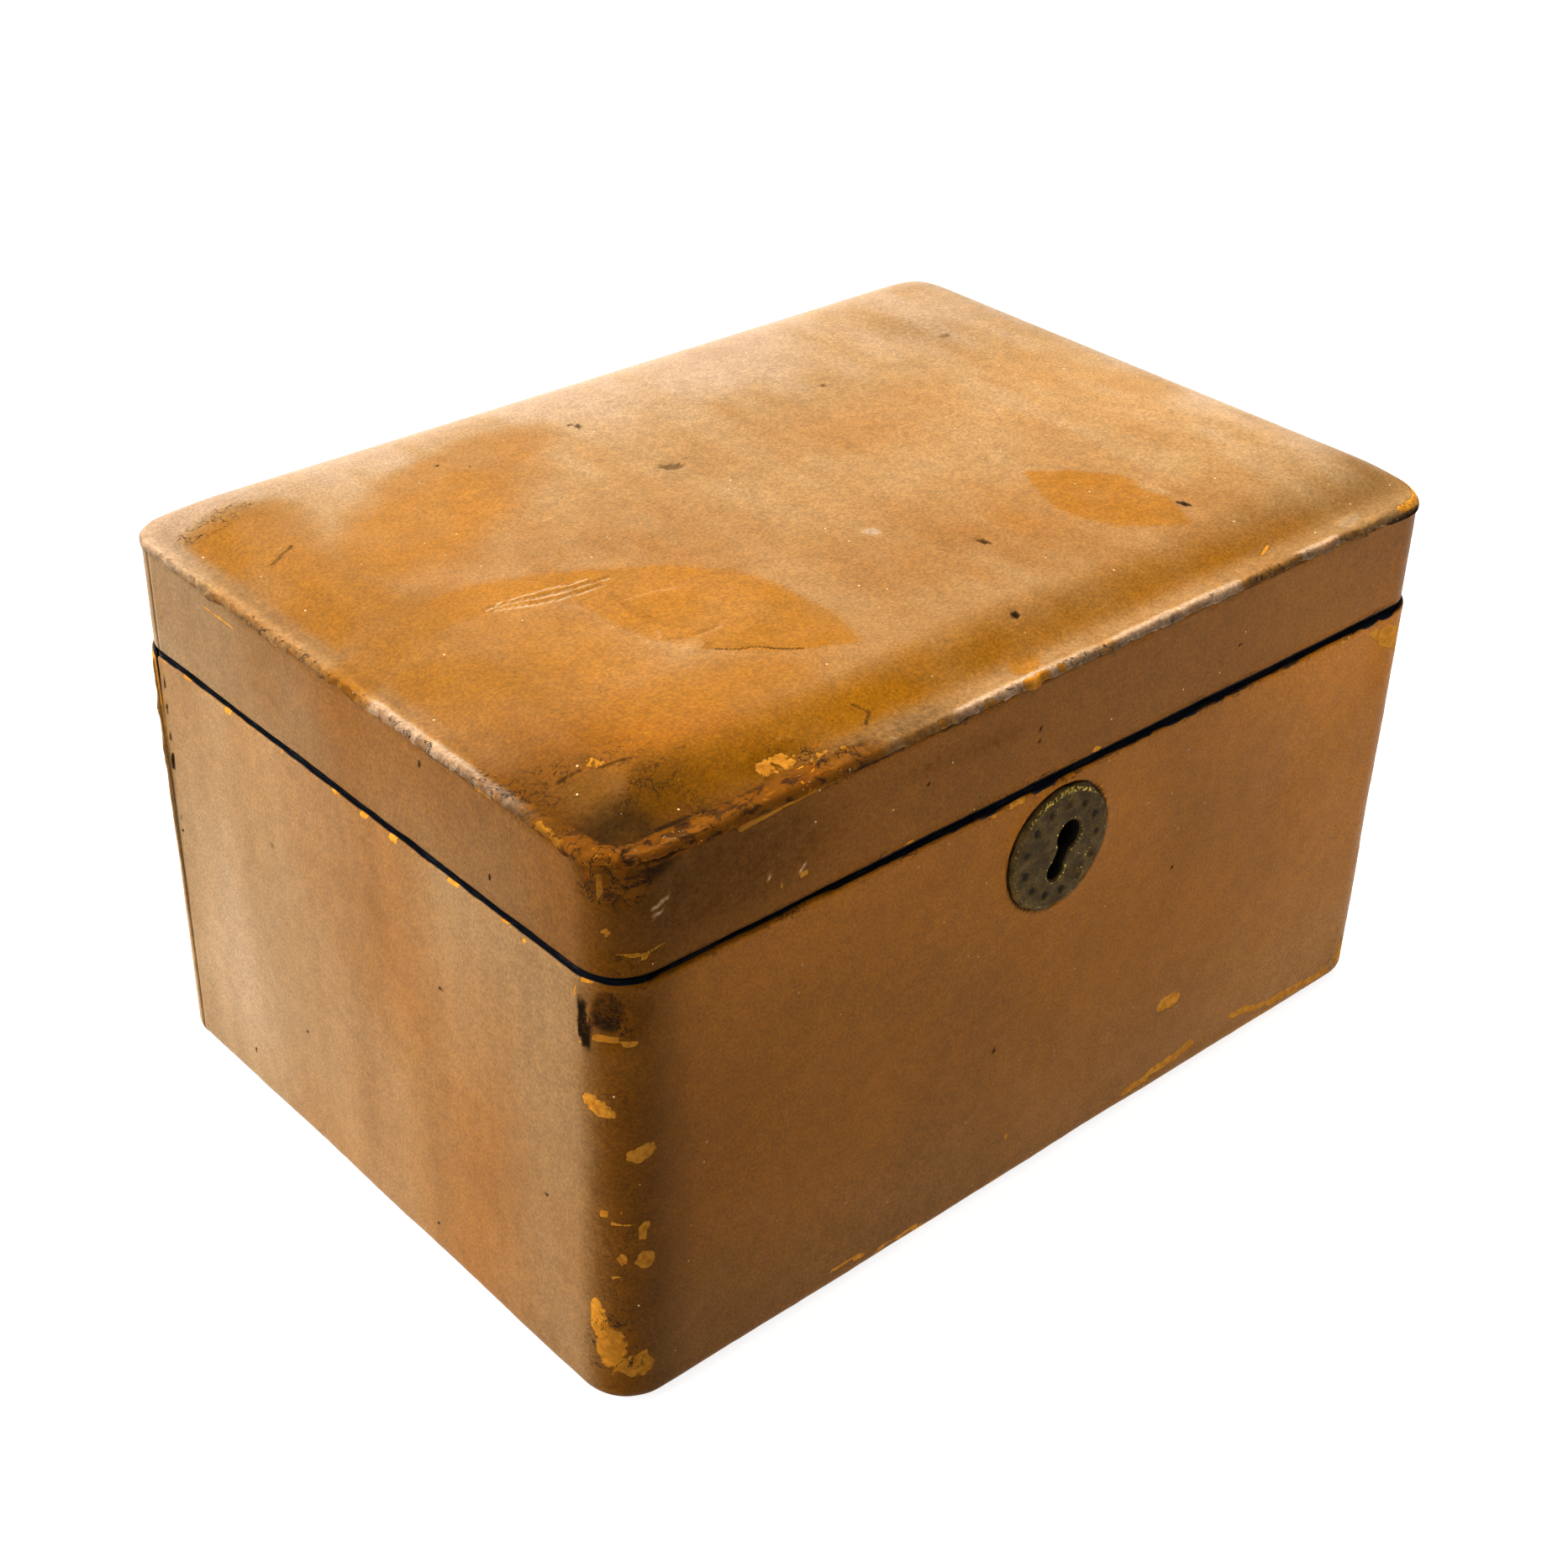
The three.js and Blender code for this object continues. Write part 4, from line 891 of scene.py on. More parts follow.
# marks that are both painted on the lid's top and pressed into it, in mm from its middle
GOUGES = [
    [(-74.2, -1.2), (-70, -2.2), (-64, -3.8), (-57, -4.6), (-50.4, -5.2)],
    [(-73.4, -2.6), (-68, -4.8), (-62, -6.2), (-56, -6.9), (-52.5, -6.6)],
]
HOOKED_SCRATCH = [(-61, -27), (-57.6, -30.4), (-53.4, -32.6), (-46, -31.6)]
LONG_SCRATCH = [(-52.5, -38.0), (-47.5, -40.6), (-41, -46.4)]
LIFTED_SPOT, BROWN_NICK, SMALL_HOLE, OVAL_PIT = (-54.5, -34.6), (-12.2, 23.6), (-2.6, -60), (12.6, -38)
RIM_SCAR, OCHRE_PATCH = (80, -70.9), (-65, -67.5)


def strip_profile():
    """The lid skin's section as (inset, height): up the outside from the gap and over the arris."""
    low, turn, lap = 0.4 * MM, 1.2 * MM, 2.6 * MM
    outside = stepped(
        (LEATHER, LID_BOTTOM),
        (0.4 * MM, [*quarter((low, LID_BOTTOM + low), low, 270, 180, 5), (0, LID_BOTTOM + 2 * MM)]),
        (0.7 * MM, [(0, STRIP_TOP - 3 * MM)]),
        (0.35 * MM, [*quarter((turn, STRIP_TOP - turn), turn, 180, 90, 7), (lap, STRIP_TOP)]),
    )
    return outside + [(lap, LID_RIM + 0.1 * MM), (LEATHER, LID_RIM + 0.1 * MM)]


def strip_paint(piece, is_back=False):
    """Wear, dirt with painted shade, bloom with painted sheen, tone with painted light and shade, and a dark
    bottom edge with the gap's painted shadow, of the lid's side leather, by girth and height in mm.
    """
    points = coordinates(piece)
    girth, inset, _ = girth_of(points, LID_SHAPE)
    girth = round_the_back(girth, is_back)
    g, z, inset = girth / MM, points[:, 2] / MM, inset / MM
    spot, line_along = partial(blot, g, z), partial(stroke, g, z)
    left, front = smooth(g, 2, -7), smooth(g, -4, 6)
    along = unrolled(girth, points[:, 2] * 0.5)

    top = smooth(z, 113.2, 115.2)
    patchy = noise(along, 9 * MM, 3, 2.7)
    worn = top * (0.34 + 0.34 * patchy)
    worn = union(
        worn,
        top * 0.85 * close_to(g, 40, 13, 5),
        0.70 * line_along([(24, 113.6), (34, 114.4), (46, 115)], 1.1),
        0.85 * spot((-1.2, 102.8), (0.8, 0.8)),
        0.80 * spot((-2.2, 111.5), (0.8, 2.8)),
        0.62 * line_along([(0, 98.6), (5, 98.2), (9, 98.8)], 0.8),
        0.70 * spot((4.8, 97.2), (0.6, 0.5)),
        0.72 * line_along([(-117, 111.8), (-105, 111.6)], 0.55),
        0.66 * line_along([(-100, 111.7), (-96, 111.5)], 0.45),
        0.72 * spot((33, 99), (0.5, 1.1)), 0.72 * spot((38, 99), (1.0, 0.8)),
        0.80 * spot((109, 95), (1.2, 0.7)), 0.74 * spot((62, 94.6), (1.4, 0.6)),
        0.70 * spot((205, 110), (3, 5), 0, 0.9),
    )
    grime_and_shade = union(
        # painted shade: nearly black where the strip runs in under the top leather's edge
        0.92 * smooth(z, 115.0, 115.5),
        0.55 * smooth(z, 114.2, 115.2) * smooth(patchy, -0.4, 0.3),
        0.70 * spot((3, 114), (10, 3.4), 0, 1.2),
        0.42 * spot((22, 106), (30, 12), 0, 1.4),
        0.34 * spot((74, 108), (26, 3.2), -3, 1.4),
        0.26 * spot((-58, 110), (26, 4.5), 0, 1.3),
        # darker along the bottom edge on the front
        0.50 * smooth(z, 95.4, 94.2) * front,
        *[0.9 * spot(place, (0.5, 0.5)) for place in (
            (93.5, 105.3), (93, 103), (66, 104.8), (-48.5, 111.5), (148, 103), (-30, 99),
        )],
    )
    scratches = union(
        line_along([(6.6, 106.2), (9.6, 107.4)], 0.55), line_along([(6.2, 104.5), (8.4, 105.3)], 0.5),
        line_along([(30, 101.2), (30.6, 102)], 0.5), line_along([(37, 99.4), (38, 100.8)], 0.4),
    )
    # bloom with painted sheen: the left side pale, paler towards the back
    bloom_and_sheen = left * (0.34 + 0.20 * noise(points, 26 * MM, 2, 6.6) + 0.30 * smooth(g, -70, -125))
    bloom_and_sheen = union(bloom_and_sheen, scratches)
    tone_and_shading = 1 + 0.06 * noise(points, 30 * MM, 2, 4.2) + 1.3 * scratches
    # painted shade: the left side darker towards the front
    tone_and_shading *= 1 - 0.16 * left * smooth(g, -60, -14)
    # painted light and shade: darkest at the front left corner, lighter towards the right end
    tone_and_shading *= 1 + np.interp(g, [-9, -4, 0, 8, 60, 130, 200], [0, -0.24, -0.50, -0.46, -0.10, 0.0, 0.10])
    # the whole left side darker
    tone_and_shading *= 1 - 0.24 * left
    line = unrolled(girth)
    # a dark band along the bottom edge, thicker at the front: dyed edge and painted shadow of the gap
    thick = 0.05 + 0.40 * front * smooth(g, 20, 80) + 0.12 * noise(line, 6 * MM, 2, 2.3)
    ink_and_gap_shade = 0.95 * smooth(z - 94 - thick, 0.30, -0.25)
    frayed = union(
        smooth(z, 112.6, 114.8)
        * union(0.8 * close_to(g, 30, 70, 40), 0.45 * close_to(g, -110, 40, 15)),
        0.7 * spot((0, 112), (7, 5), 0, 0.8), 0.5 * spot((3, 97), (9, 3), 0, 0.8),
        0.5 * smooth(z, 96.2, 95) * front * smooth(g, 30, 60),
    )
    ink_and_gap_shade = union(ink_and_gap_shade, smooth(inset, 0.5, 1.1) * (z < 94.2))
    paint(piece, worn, grime_and_shade, bloom_and_sheen, 0, tone_and_shading, ink_and_gap_shade, frayed)


def strip_relief(piece):
    """Small rises and falls of the lid's side leather, and its uneven edge over the gap."""
    points, facing = coordinates(piece), normals(piece)
    girth, inset, out = girth_of(points, LID_SHAPE)
    outward = (facing[:, :2] * out).sum(1)
    along = unrolled(girth, points[:, 2] * 0.6)
    rise = 0.10 * noise(points, 20 * MM, 2, 9.2) + 0.03 * noise(points, 2.4 * MM, 2, 1.4)
    ridge = smooth(points[:, 2] / MM, 113.2, 114.6)
    rise += ridge * 0.16 * noise(along, 4 * MM, 3, 5.1)
    points += facing * (rise * (outward > 0.25) * MM)[:, None]
    low = smooth(points[:, 2] / MM, 95.2, 94.2)
    points[:, 2] += low * 0.12 * MM * noise(unrolled(girth), 4 * MM, 3, 8.1)
    move_to(piece, points)


def add_lid_sides():
    """The strip round the lid's front and both sides, and the back's own strip."""
    left_end, right_end = side_reach(LID_SHAPE)
    full = outline_length(LID_SHAPE)
    lap, fine, coarse = 0.15 * MM, 0.7 * MM, 0.9 * MM
    strip = swept("lid_side_skin", girth_lengths(left_end - lap, right_end + lap, LID_SHAPE, fine),
                  LID_SHAPE, strip_profile())
    back = swept("lid_back_skin",
                 girth_lengths(right_end + 3 * lap, left_end - 3 * lap + full, LID_SHAPE, coarse),
                 LID_SHAPE, strip_profile())
    cut(back, *hinge_rooms())
    for piece, node in ((strip, "lid_side_leather"), (back, "lid_back_leather")):
        strip_relief(piece)
        strip_paint(piece, piece is back)
        dress(piece, "lid", "tan_leather", node)


def crown_height(points):
    """Height of the top leather: a flat margin and a shoulder at the front and left, a plain fall at the back
    and right, and a small round at the edge."""
    half_x, half_y, _ = TOP_SHAPE
    inset = np.maximum(inset_of(points, TOP_SHAPE), 0)
    edge = np.clip(1 - inset / EDGE_ROUND, 0, 1)
    rounding = EDGE_ROUND * (1 - np.sqrt(1 - edge * edge))
    sunk = 0
    for room in (half_x + points[:, 0], half_y + points[:, 1]):
        sunk = sunk + (1 - smooth(room, MARGIN, MARGIN + SHOULDER)) ** 4.2
    rise = 1 - np.minimum(sunk, 1) ** (1 / 3)
    for room in (half_x - points[:, 0], half_y - points[:, 1]):
        rise = rise * (1 - np.clip(1 - room / FALL, 0, 1) ** 2.6)
    return FLANGE + DOME * rise * 0.95 + 0.05 * DOME * smooth(inset, 0, 40 * MM) - rounding


def spaced(low, high, fine_until, fine, coarse, rim):
    """Positions from low to high: close at both rims, fine up to a point and coarser after it."""
    rim_width = 3 * MM
    parts = [(low, low + rim_width, rim), (low + rim_width, fine_until, fine),
             (fine_until, high - rim_width, coarse), (high - rim_width, high, rim)]
    line = [low]
    for start, end, step in parts:
        count = max(1, round((end - start) / step))
        line += list(np.linspace(start, end, count + 1)[1:])
    return np.array(line)


def divisible(line, step):
    """Drops points next to the end until the gaps divide evenly by step."""
    extra = (len(line) - 1) % step
    keep = np.ones(len(line), bool)
    keep[-1 - extra:-1] = False
    return line[keep]


def square_to_outline(x, y, shape):
    """Moves a square-cornered grid onto the round-cornered outline; only the corner squares change."""
    half_x, half_y, radius = shape
    s = np.clip((np.abs(x) - (half_x - radius)) / radius, 0, 1)
    t = np.clip((np.abs(y) - (half_y - radius)) / radius, 0, 1)
    inner_x, inner_y = np.abs(x) - s * radius, np.abs(y) - t * radius
    new_x = inner_x + radius * s * np.sqrt(1 - t * t / 2)
    new_y = inner_y + radius * t * np.sqrt(1 - s * s / 2)
    return np.sign(x) * new_x, np.sign(y) * new_y


def ragged_edge(girth):
    """(rise, curl) of the trimmed edge of the top leather, in mm, by girth in metres."""
    line = unrolled(girth)
    g = girth / MM
    uneven = close_to(g, 25, 190, 160)
    rough = 0.26 * noise(line, 7 * MM, 2, 0.4) + 0.16 * noise(line, 1.7 * MM, 2, 3.3)
    torn = smooth(noise(line, 11 * MM, 2, 6.4), 0.25, 0.8)
    bitten = 0.30 * smooth(noise(line, 1.1 * MM, 2, 5.9), 0.1, 0.6)
    rise = uneven * (rough + 0.35 * torn + bitten) - 0.3 * close_to(g, 38, 30, 8) - 0.9 * smooth(g, 180, 196)
    curl = 0.8 * smooth(noise(line, 5 * MM, 2, 8.8), 0.3, 0.9) * union(
        close_to(g, -30, 34, 14), close_to(g, 75, 62, 38), close_to(g, 185, 26, 12),
        0.5 * close_to(g, -95, 40, 20),
    )
    return rise, curl


def crown_paint(piece):
    """Wear, dirt with painted shade, bloom with painted sheen, reflection and rim highlight, clean patches
    with painted shoulder shade, tone with painted light and shade, and marks of the lid's top, by place in
    mm.
    """
    points = coordinates(piece)
    girth, _, _ = girth_of(points, TOP_SHAPE)
    g, inset = girth / MM, inset_of(points, TOP_SHAPE) / MM
    under = points[:, 2] / MM < 115.1
    flat = points * (1, 1, 0) + (0, 0, FLANGE)
    x, y = warped(flat, points[:, 0] / MM, points[:, 1] / MM, 0.7, 5 * MM)
    spot, line_along = partial(blot, x, y), partial(stroke, x, y)

    corner = np.hypot(x + 98, y + 68)
    line = unrolled(girth)

    # clean, glossy patches where the bloom has been wiped off, and painted shade along the left shoulder
    blotch = 0.25 * noise(points, 9 * MM, 2, 5.2)
    pale_disc = np.hypot(x + 82, y + 40)
    wiped_and_shaded = union(
        0.85 * leaf(x, y, (40, -22), (48, -58), 10, 0.16),
        0.85 * leaf(x, y, (-58, 2), (-31, -52), 14.5, 0.2),
        0.80 * close_to(pale_disc, 43, 7.4, 4.0) * smooth(y, -14, -4) * smooth(x, -38, -48),
        0.75 * spot((-62, 34), (31, 13), 24, 0.8),
        0.60 * spot((-45, 48), (24, 9), 12, 0.6),
        # painted shade: a saturated band along the left shoulder
        0.80 * close_to(x, -90, 15, 2) * smooth(y, -34, 4) * smooth(y, 68, 42),
        0.70 * spot((-78, -20), (16, 22), 25, 1.2), 0.60 * spot((-60, -47), (26, 9), -18, 1.3),
        0.80 * spot((-10, -70), (4, 2.6), 20, 0.4),
    ) * np.clip(1 + blotch, 0, 1.2)
    # painted shade: saturated bands on the front and left shoulders, where they turn from the light
    reach = np.interp(x, [-10, 50], [24, 15])
    shoulder = smooth(inset, 3.5, 8.5) * smooth(inset, reach, reach * 0.42)
    facing_front = smooth(y, -50, -58)
    uneven = np.clip(1 + 0.35 * noise(points, 16 * MM, 3, 2.9), 0, 1.2)
    ribbon = x + 4 * noise(points, 18 * MM, 2, 1.5)
    front_shoulder_shade = shoulder * facing_front * smooth(x, 130, 20)
    left_shoulder_shade = smooth(ribbon, -74, -93) * smooth(inset, 3.4, 7.0)
    left_shoulder_shade *= smooth(y, 66, 55) * smooth(corner, 18, 50)
    wiped_and_shaded = union(wiped_and_shaded, 0.92 * front_shoulder_shade * uneven, 0.90 * left_shoulder_shade * uneven)

    worn = union(
        0.60 * spot(OCHRE_PATCH, (6.0, 2.8), -8, 1.2),
        0.52 * spot((-55, -70.5), (8, 2.0), -6, 0.9),
        0.54 * spot((-90, -52), (1.4, 2.8), 10, 1.0),
        0.80 * spot((-98, -70.5), (1.4, 1.0)),
        0.62 * spot((-86, -72.5), (9, 1.6), 3, 0.8),
        0.80 * line_along([(55.5, -69.8), (58.5, -68.2)], 0.7),
        smooth(inset, 2.2, 0.4) * (0.30 + 0.5 * noise(unrolled(girth), 6 * MM, 3, 4.9))
        * union(close_to(g, 60, 60, 30), close_to(g, -20, 25, 5)),
        0.66 * smooth(inset, 3.0, 1.2) * smooth(g, 186, 198),
    )
    grime_and_shade = union(
        0.62 * smooth(corner, 15, 4),
        0.34 * smooth(corner, 44, 10) * smooth(inset, 16, 4),
        0.50 * smooth(inset, 11, 3) * close_to(g, 45, 44, 20),
        0.80 * spot((-103, -72), (4, 4), 0, 0.8),
        0.75 * spot((-90, -71), (6, 1.3), 4, 0.7),
        0.36 * spot((-84, -61), (9, 5), 0, 1.4),
        0.55 * spot(BROWN_NICK, (3.4, 1.2), -18, 0.5),
        0.45 * line_along([(-12, 23.4), (-6, 25.2)], 0.5),
        0.58 * line_along([(-93, 39.6), (-90, 40.6), (-87.5, 41.6)], 1.0),
        0.70 * spot(OVAL_PIT, (1.0, 2.0), 12, 0.4),
        0.80 * spot(SMALL_HOLE, (1.1, 0.9), 30, 0.4),
        0.70 * line_along([(-16.6, 51.4), (-15.0, 50.8), (-15.6, 49)], 0.8),
        0.80 * spot((53.4, -51), (1.1, 1.6), 20, 0.6),
        0.55 * spot((77, 38), (2.2, 0.8), 0, 0.6),
        0.55 * spot((37, 34), (1.1, 0.9), 0, 0.6),
        0.60 * spot((-8, 7), (0.6, 0.5)),
        0.80 * spot((-48, 51.6), (0.6, 0.6)), 0.70 * spot((-43, 48.4), (0.5, 0.5)),
        0.34 * spot((74, 42), (13, 17), 20, 1.6),
        0.30 * spot((60, 31), (7, 5), 0, 1.4),
        0.34 * line_along([(-54, -11), (-54.4, -17), (-55.2, -23)], 2.0),
        0.70 * line_along(LONG_SCRATCH, 0.55),
        0.60 * line_along([(-44.6, -63), (-43, -66), (-45.5, -68)], 0.6),
        0.60 * line_along([(-96, -51.4), (-92, -52.2)], 0.8),
        0.60 * line_along([(-90, -54), (-86, -56)], 0.8),
        # painted shade: a thin dark line along the very edge
        0.50 * smooth(inset, 1.0, 0.2),
        0.30 * spot((92, -67), (16, 7), 8, 1.2),
    )
    pale_lines = union(
        line_along(GOUGES[0], 0.55),
        line_along(GOUGES[1], 0.50),
        line_along([(-72, -0.6), (-66, -1.6), (-61, -2.4), (-54, -3.2)], 0.40),
        0.6 * line_along([(-48.5, 20.6), (-42, 21.2), (-33, 22.4), (-24, 24.4)], 0.6),
        0.5 * line_along([(-46, 22.4), (-38, 23.6), (-30, 25.6)], 0.5),
        0.5 * line_along(HOOKED_SCRATCH, 0.55),
        0.5 * line_along([(-62, -30.6), (-58.4, -29.8), (-56, -26.4)], 0.45),
        0.6 * line_along([(-53, -14.6), (-47, -15.4), (-43.6, -16.4)], 0.5),
        0.6 * spot(LIFTED_SPOT, (2.2, 1.4), 0, 0.8),
    )
    pale_spots = union(
        0.9 * spot((-1.4, -21.4), (2.0, 1.8), 0, 0.6),
        0.6 * spot((70, -40), (5, 2.2), 25, 1.0),
        0.8 * spot(RIM_SCAR, (4.6, 1.6), 8, 0.4),
        0.7 * spot((54, -43), (1.8, 4.6), 12, 0.8),
    )
    # bloom with painted sheen: pale all over the top
    bloom_and_sheen = 0.54 + 0.13 * noise(points, 30 * MM, 2, 1.2)
    bloom_and_sheen += 0.08 * noise(points, (5 * MM, 14 * MM, 9 * MM), 2, 7.4)
    # painted reflection: paler towards the back and towards the right
    bloom_and_sheen += 0.16 * smooth(x + y, 20, 150) + 0.34 * smooth(y, 5, 70)
    bloom_and_sheen += 0.16 * smooth(x, 40, 96) * smooth(y, 40, 0)
    bloom_and_sheen -= 0.22 * spot((86, 62), (26, 20), 0, 1.2)
    bloom_and_sheen -= 0.55 * smooth(corner, 62, 15)
    bloom_and_sheen = union(bloom_and_sheen, pale_spots, pale_lines) * (1 - 0.8 * smooth(corner, 30, 8))
    # painted highlight: a pale strip along the front and left rim
    rim_highlight = smooth(inset, 3.0, 1.4) * smooth(noise(line, 9 * MM, 2, 6.2), -0.7, 0.1) * smooth(corner, 10, 20)
    rim_highlight *= union(
        close_to(g, 128, 80, 66), close_to(g, -35, 36, 30), 0.3 * close_to(g, -100, 40, 28),
    )
    bloom_and_sheen = union(bloom_and_sheen, rim_highlight)
    wiped_and_shaded = wiped_and_shaded * (1 - pale_lines) * (1 - pale_spots)
    tone_and_shading = 1 + 0.05 * noise(points, 26 * MM, 2, 3.7) + 0.22 * pale_lines
    # painted shade: the front shoulder darker
    tone_and_shading *= 1 - 0.10 * shoulder * facing_front
    # painted shade: darker along the left shoulder; the right part of the top lighter
    right_end = 0.14 * smooth(x, 30, 90) * smooth(y, -56, -38) * smooth(y, 40, 0)
    tone_and_shading *= 1 - 0.22 * smooth(ribbon, -72, -96) * smooth(inset, 1, 4) + right_end
    tone_and_shading *= 1 - 0.42 * smooth(corner, 48, 12) * smooth(inset, 24, 4)
    # painted highlight: the rim strip lighter
    tone_and_shading *= 1 + 0.16 * rim_highlight
    tone_and_shading *= 1 - 0.34 * worn * (inset > 2.4)
    frayed = union(
        smooth(inset, 7, 2.5) * close_to(g, 27, 42, 20), 0.90 * smooth(corner, 13, 6) * smooth(inset, 6, 3),
        0.62 * smooth(inset, 1.7, 0.9) * close_to(g, 30, 175, 150), 0.45 * smooth(corner, 34, 20),
        0.66 * smooth(inset, 4.2, 2.4) * close_to(g, -24, 16, 7),
        0.55 * spot((-64, -67), (9, 5), -8, 1.0), 0.45 * spot((-90, -53), (5, 5), 0, 1.0),
        0.50 * smooth(inset, 6, 3) * close_to(g, 196, 12, 6), 0.55 * spot((-90, 60), (12, 4), -12, 0.7),
    )
    # the trimmed edge and the underside: dark, with bits of ochre
    broken = noise(points, 2.2 * MM, 2, 6.6)
    worn = np.where(under, 0.16 + 0.5 * broken, worn)
    grime_and_shade = np.where(under, 0.78 - 0.6 * smooth(broken, 0.1, 0.5), grime_and_shade)
    paint(piece, worn, grime_and_shade, bloom_and_sheen, wiped_and_shaded, tone_and_shading, 0, frayed)


def crown_relief(points):
    """How far the top's outer face rises at each point, in mm."""
    x, y = warped(points * (1, 1, 0) + (0, 0, FLANGE), points[:, 0] / MM, points[:, 1] / MM, 0.7, 5 * MM)
    spot, line_along = partial(blot, x, y), partial(stroke, x, y)
    inset = inset_of(points, TOP_SHAPE) / MM
    rise = 0.22 * noise(points, 42 * MM, 2, 6.9) + 0.03 * noise(points, 3 * MM, 2, 2.9)
    inner = smooth(inset, 2, 6)
    for line in GOUGES:
        rise -= 0.30 * line_along(line, 0.75)
        rise += 0.14 * stroke(x, y - 0.8, line, 0.7)
    rise -= 0.12 * line_along(HOOKED_SCRATCH, 1.0)
    rise += 0.22 * spot(LIFTED_SPOT, (2.6, 2.2), 0, 0.9)
    rise -= 0.16 * line_along(LONG_SCRATCH, 0.7)
    rise -= 0.25 * spot(BROWN_NICK, (3.4, 1.6), -18, 0.4)
    rise -= 0.30 * spot(SMALL_HOLE, (1.2, 1.0), 30, 0.5)
    rise -= 0.25 * spot(OVAL_PIT, (1.0, 2.0), 12, 0.5)
    rise += 0.35 * spot(RIM_SCAR, (4.4, 1.5), 8, 0.8)
    rise *= inner
    rise -= 0.24 * spot(OCHRE_PATCH, (5.2, 2.7), -8, 0.4) * (0.8 + 0.5 * noise(points, 1.6 * MM, 2, 5.8))
    rise += 0.35 * line_along([(-61, -63.6), (-58.6, -65.2), (-58.4, -67)], 0.8)
    girth, _, _ = girth_of(points, TOP_SHAPE)
    crumpled = 0.22 * noise(points, 5 * MM, 2, 8.5) + 0.14 * noise(points, 1.9 * MM, 2, 0.7)
    rise += close_to(girth / MM, 25, 190, 160) * smooth(inset, 6, 1) * crumpled
    return rise


def add_lid_top():
    """The top leather: one sheet over the pad, with a ragged trimmed edge lapping the side strips."""
    half_x, half_y, radius = TOP_SHAPE
    coarse = 5                         # the underside's grid is this many times coarser
    fine, rim = 0.50 * MM, 0.45 * MM
    columns = divisible(spaced(-half_x, half_x, -38 * MM, fine, 0.86 * MM, rim), coarse)
    rows = divisible(spaced(-half_y, half_y, 6 * MM, fine, 0.84 * MM, rim), coarse)
    grid_x, grid_y = np.meshgrid(columns, rows)
    flat_x, flat_y = square_to_outline(grid_x, grid_y, TOP_SHAPE)
    shape = grid_x.shape
    upper = np.stack([flat_x.ravel(), flat_y.ravel(), np.zeros(flat_x.size)], 1)
    inset = np.maximum(inset_of(upper, TOP_SHAPE), 0)
    upper[:, 2] = crown_height(upper) + crown_relief(upper) * MM
    girth, _, out = girth_of(upper, TOP_SHAPE)
    rise, curl = ragged_edge(girth)
    near_edge = smooth(inset, 1.8 * MM, 0)
    upper[:, 2] += rise * near_edge * MM
    upper[:, :2] += out * (curl * near_edge * MM)[:, None]

    index = np.arange(upper.shape[0]).reshape(shape)
    quads, loop = grid_quads(index), grid_rim(index)
    count = len(loop)
    edge, edge_out, edge_curl = upper[loop], out[loop], curl[loop][:, None]

    # down the trimmed edge, round it and up its inner side: drop and inset in mm, and share of the curl
    rings = []
    trimmed = ((0.25, 0.0, 1.0), (0.5, 0.02, 1.1), (0.62, 0.2, 1.0), (0.55, 0.45, 0.9), (0.2, 0.62, 0.5))
    for drop, inward, curled in trimmed:
        ring = edge.copy()
        ring[:, :2] += edge_out * (edge_curl * (curled - 1) - inward) * MM
        ring[:, 2] -= drop * MM
        rings.append(ring)
    lower_index = index[::coarse, ::coarse]
    lower = upper[lower_index.ravel()].copy()
    lower[:, :2] *= 1 - EDGE_ROUND / np.array([half_x, half_y])
    lower[:, 2] = crown_height(lower) - SHEET

    faces = quads.tolist()
    first = len(upper)
    previous = loop
    for ring_number in range(len(rings)):
        current = first + ring_number * count + np.arange(count)
        faces += ring_quads(previous, current)
        previous = current
    base = first + len(rings) * count
    small = np.arange(lower_index.size).reshape(lower_index.shape) + base
    faces += grid_quads(small)[:, [0, 3, 2, 1]].tolist()
    small_loop = grid_rim(small)
    for k in range(len(small_loop)):
        wide = [int(previous[(coarse * k + i) % count]) for i in range(coarse + 1)]
        faces.append(wide + [int(small_loop[(k + 1) % len(small_loop)]), int(small_loop[k])])
    crown = mesh_of("lid_top_skin", np.concatenate([upper, *rings, lower]), faces)
    crown_paint(crown)
    dress(crown, "lid", "tan_leather", "lid_top_leather")


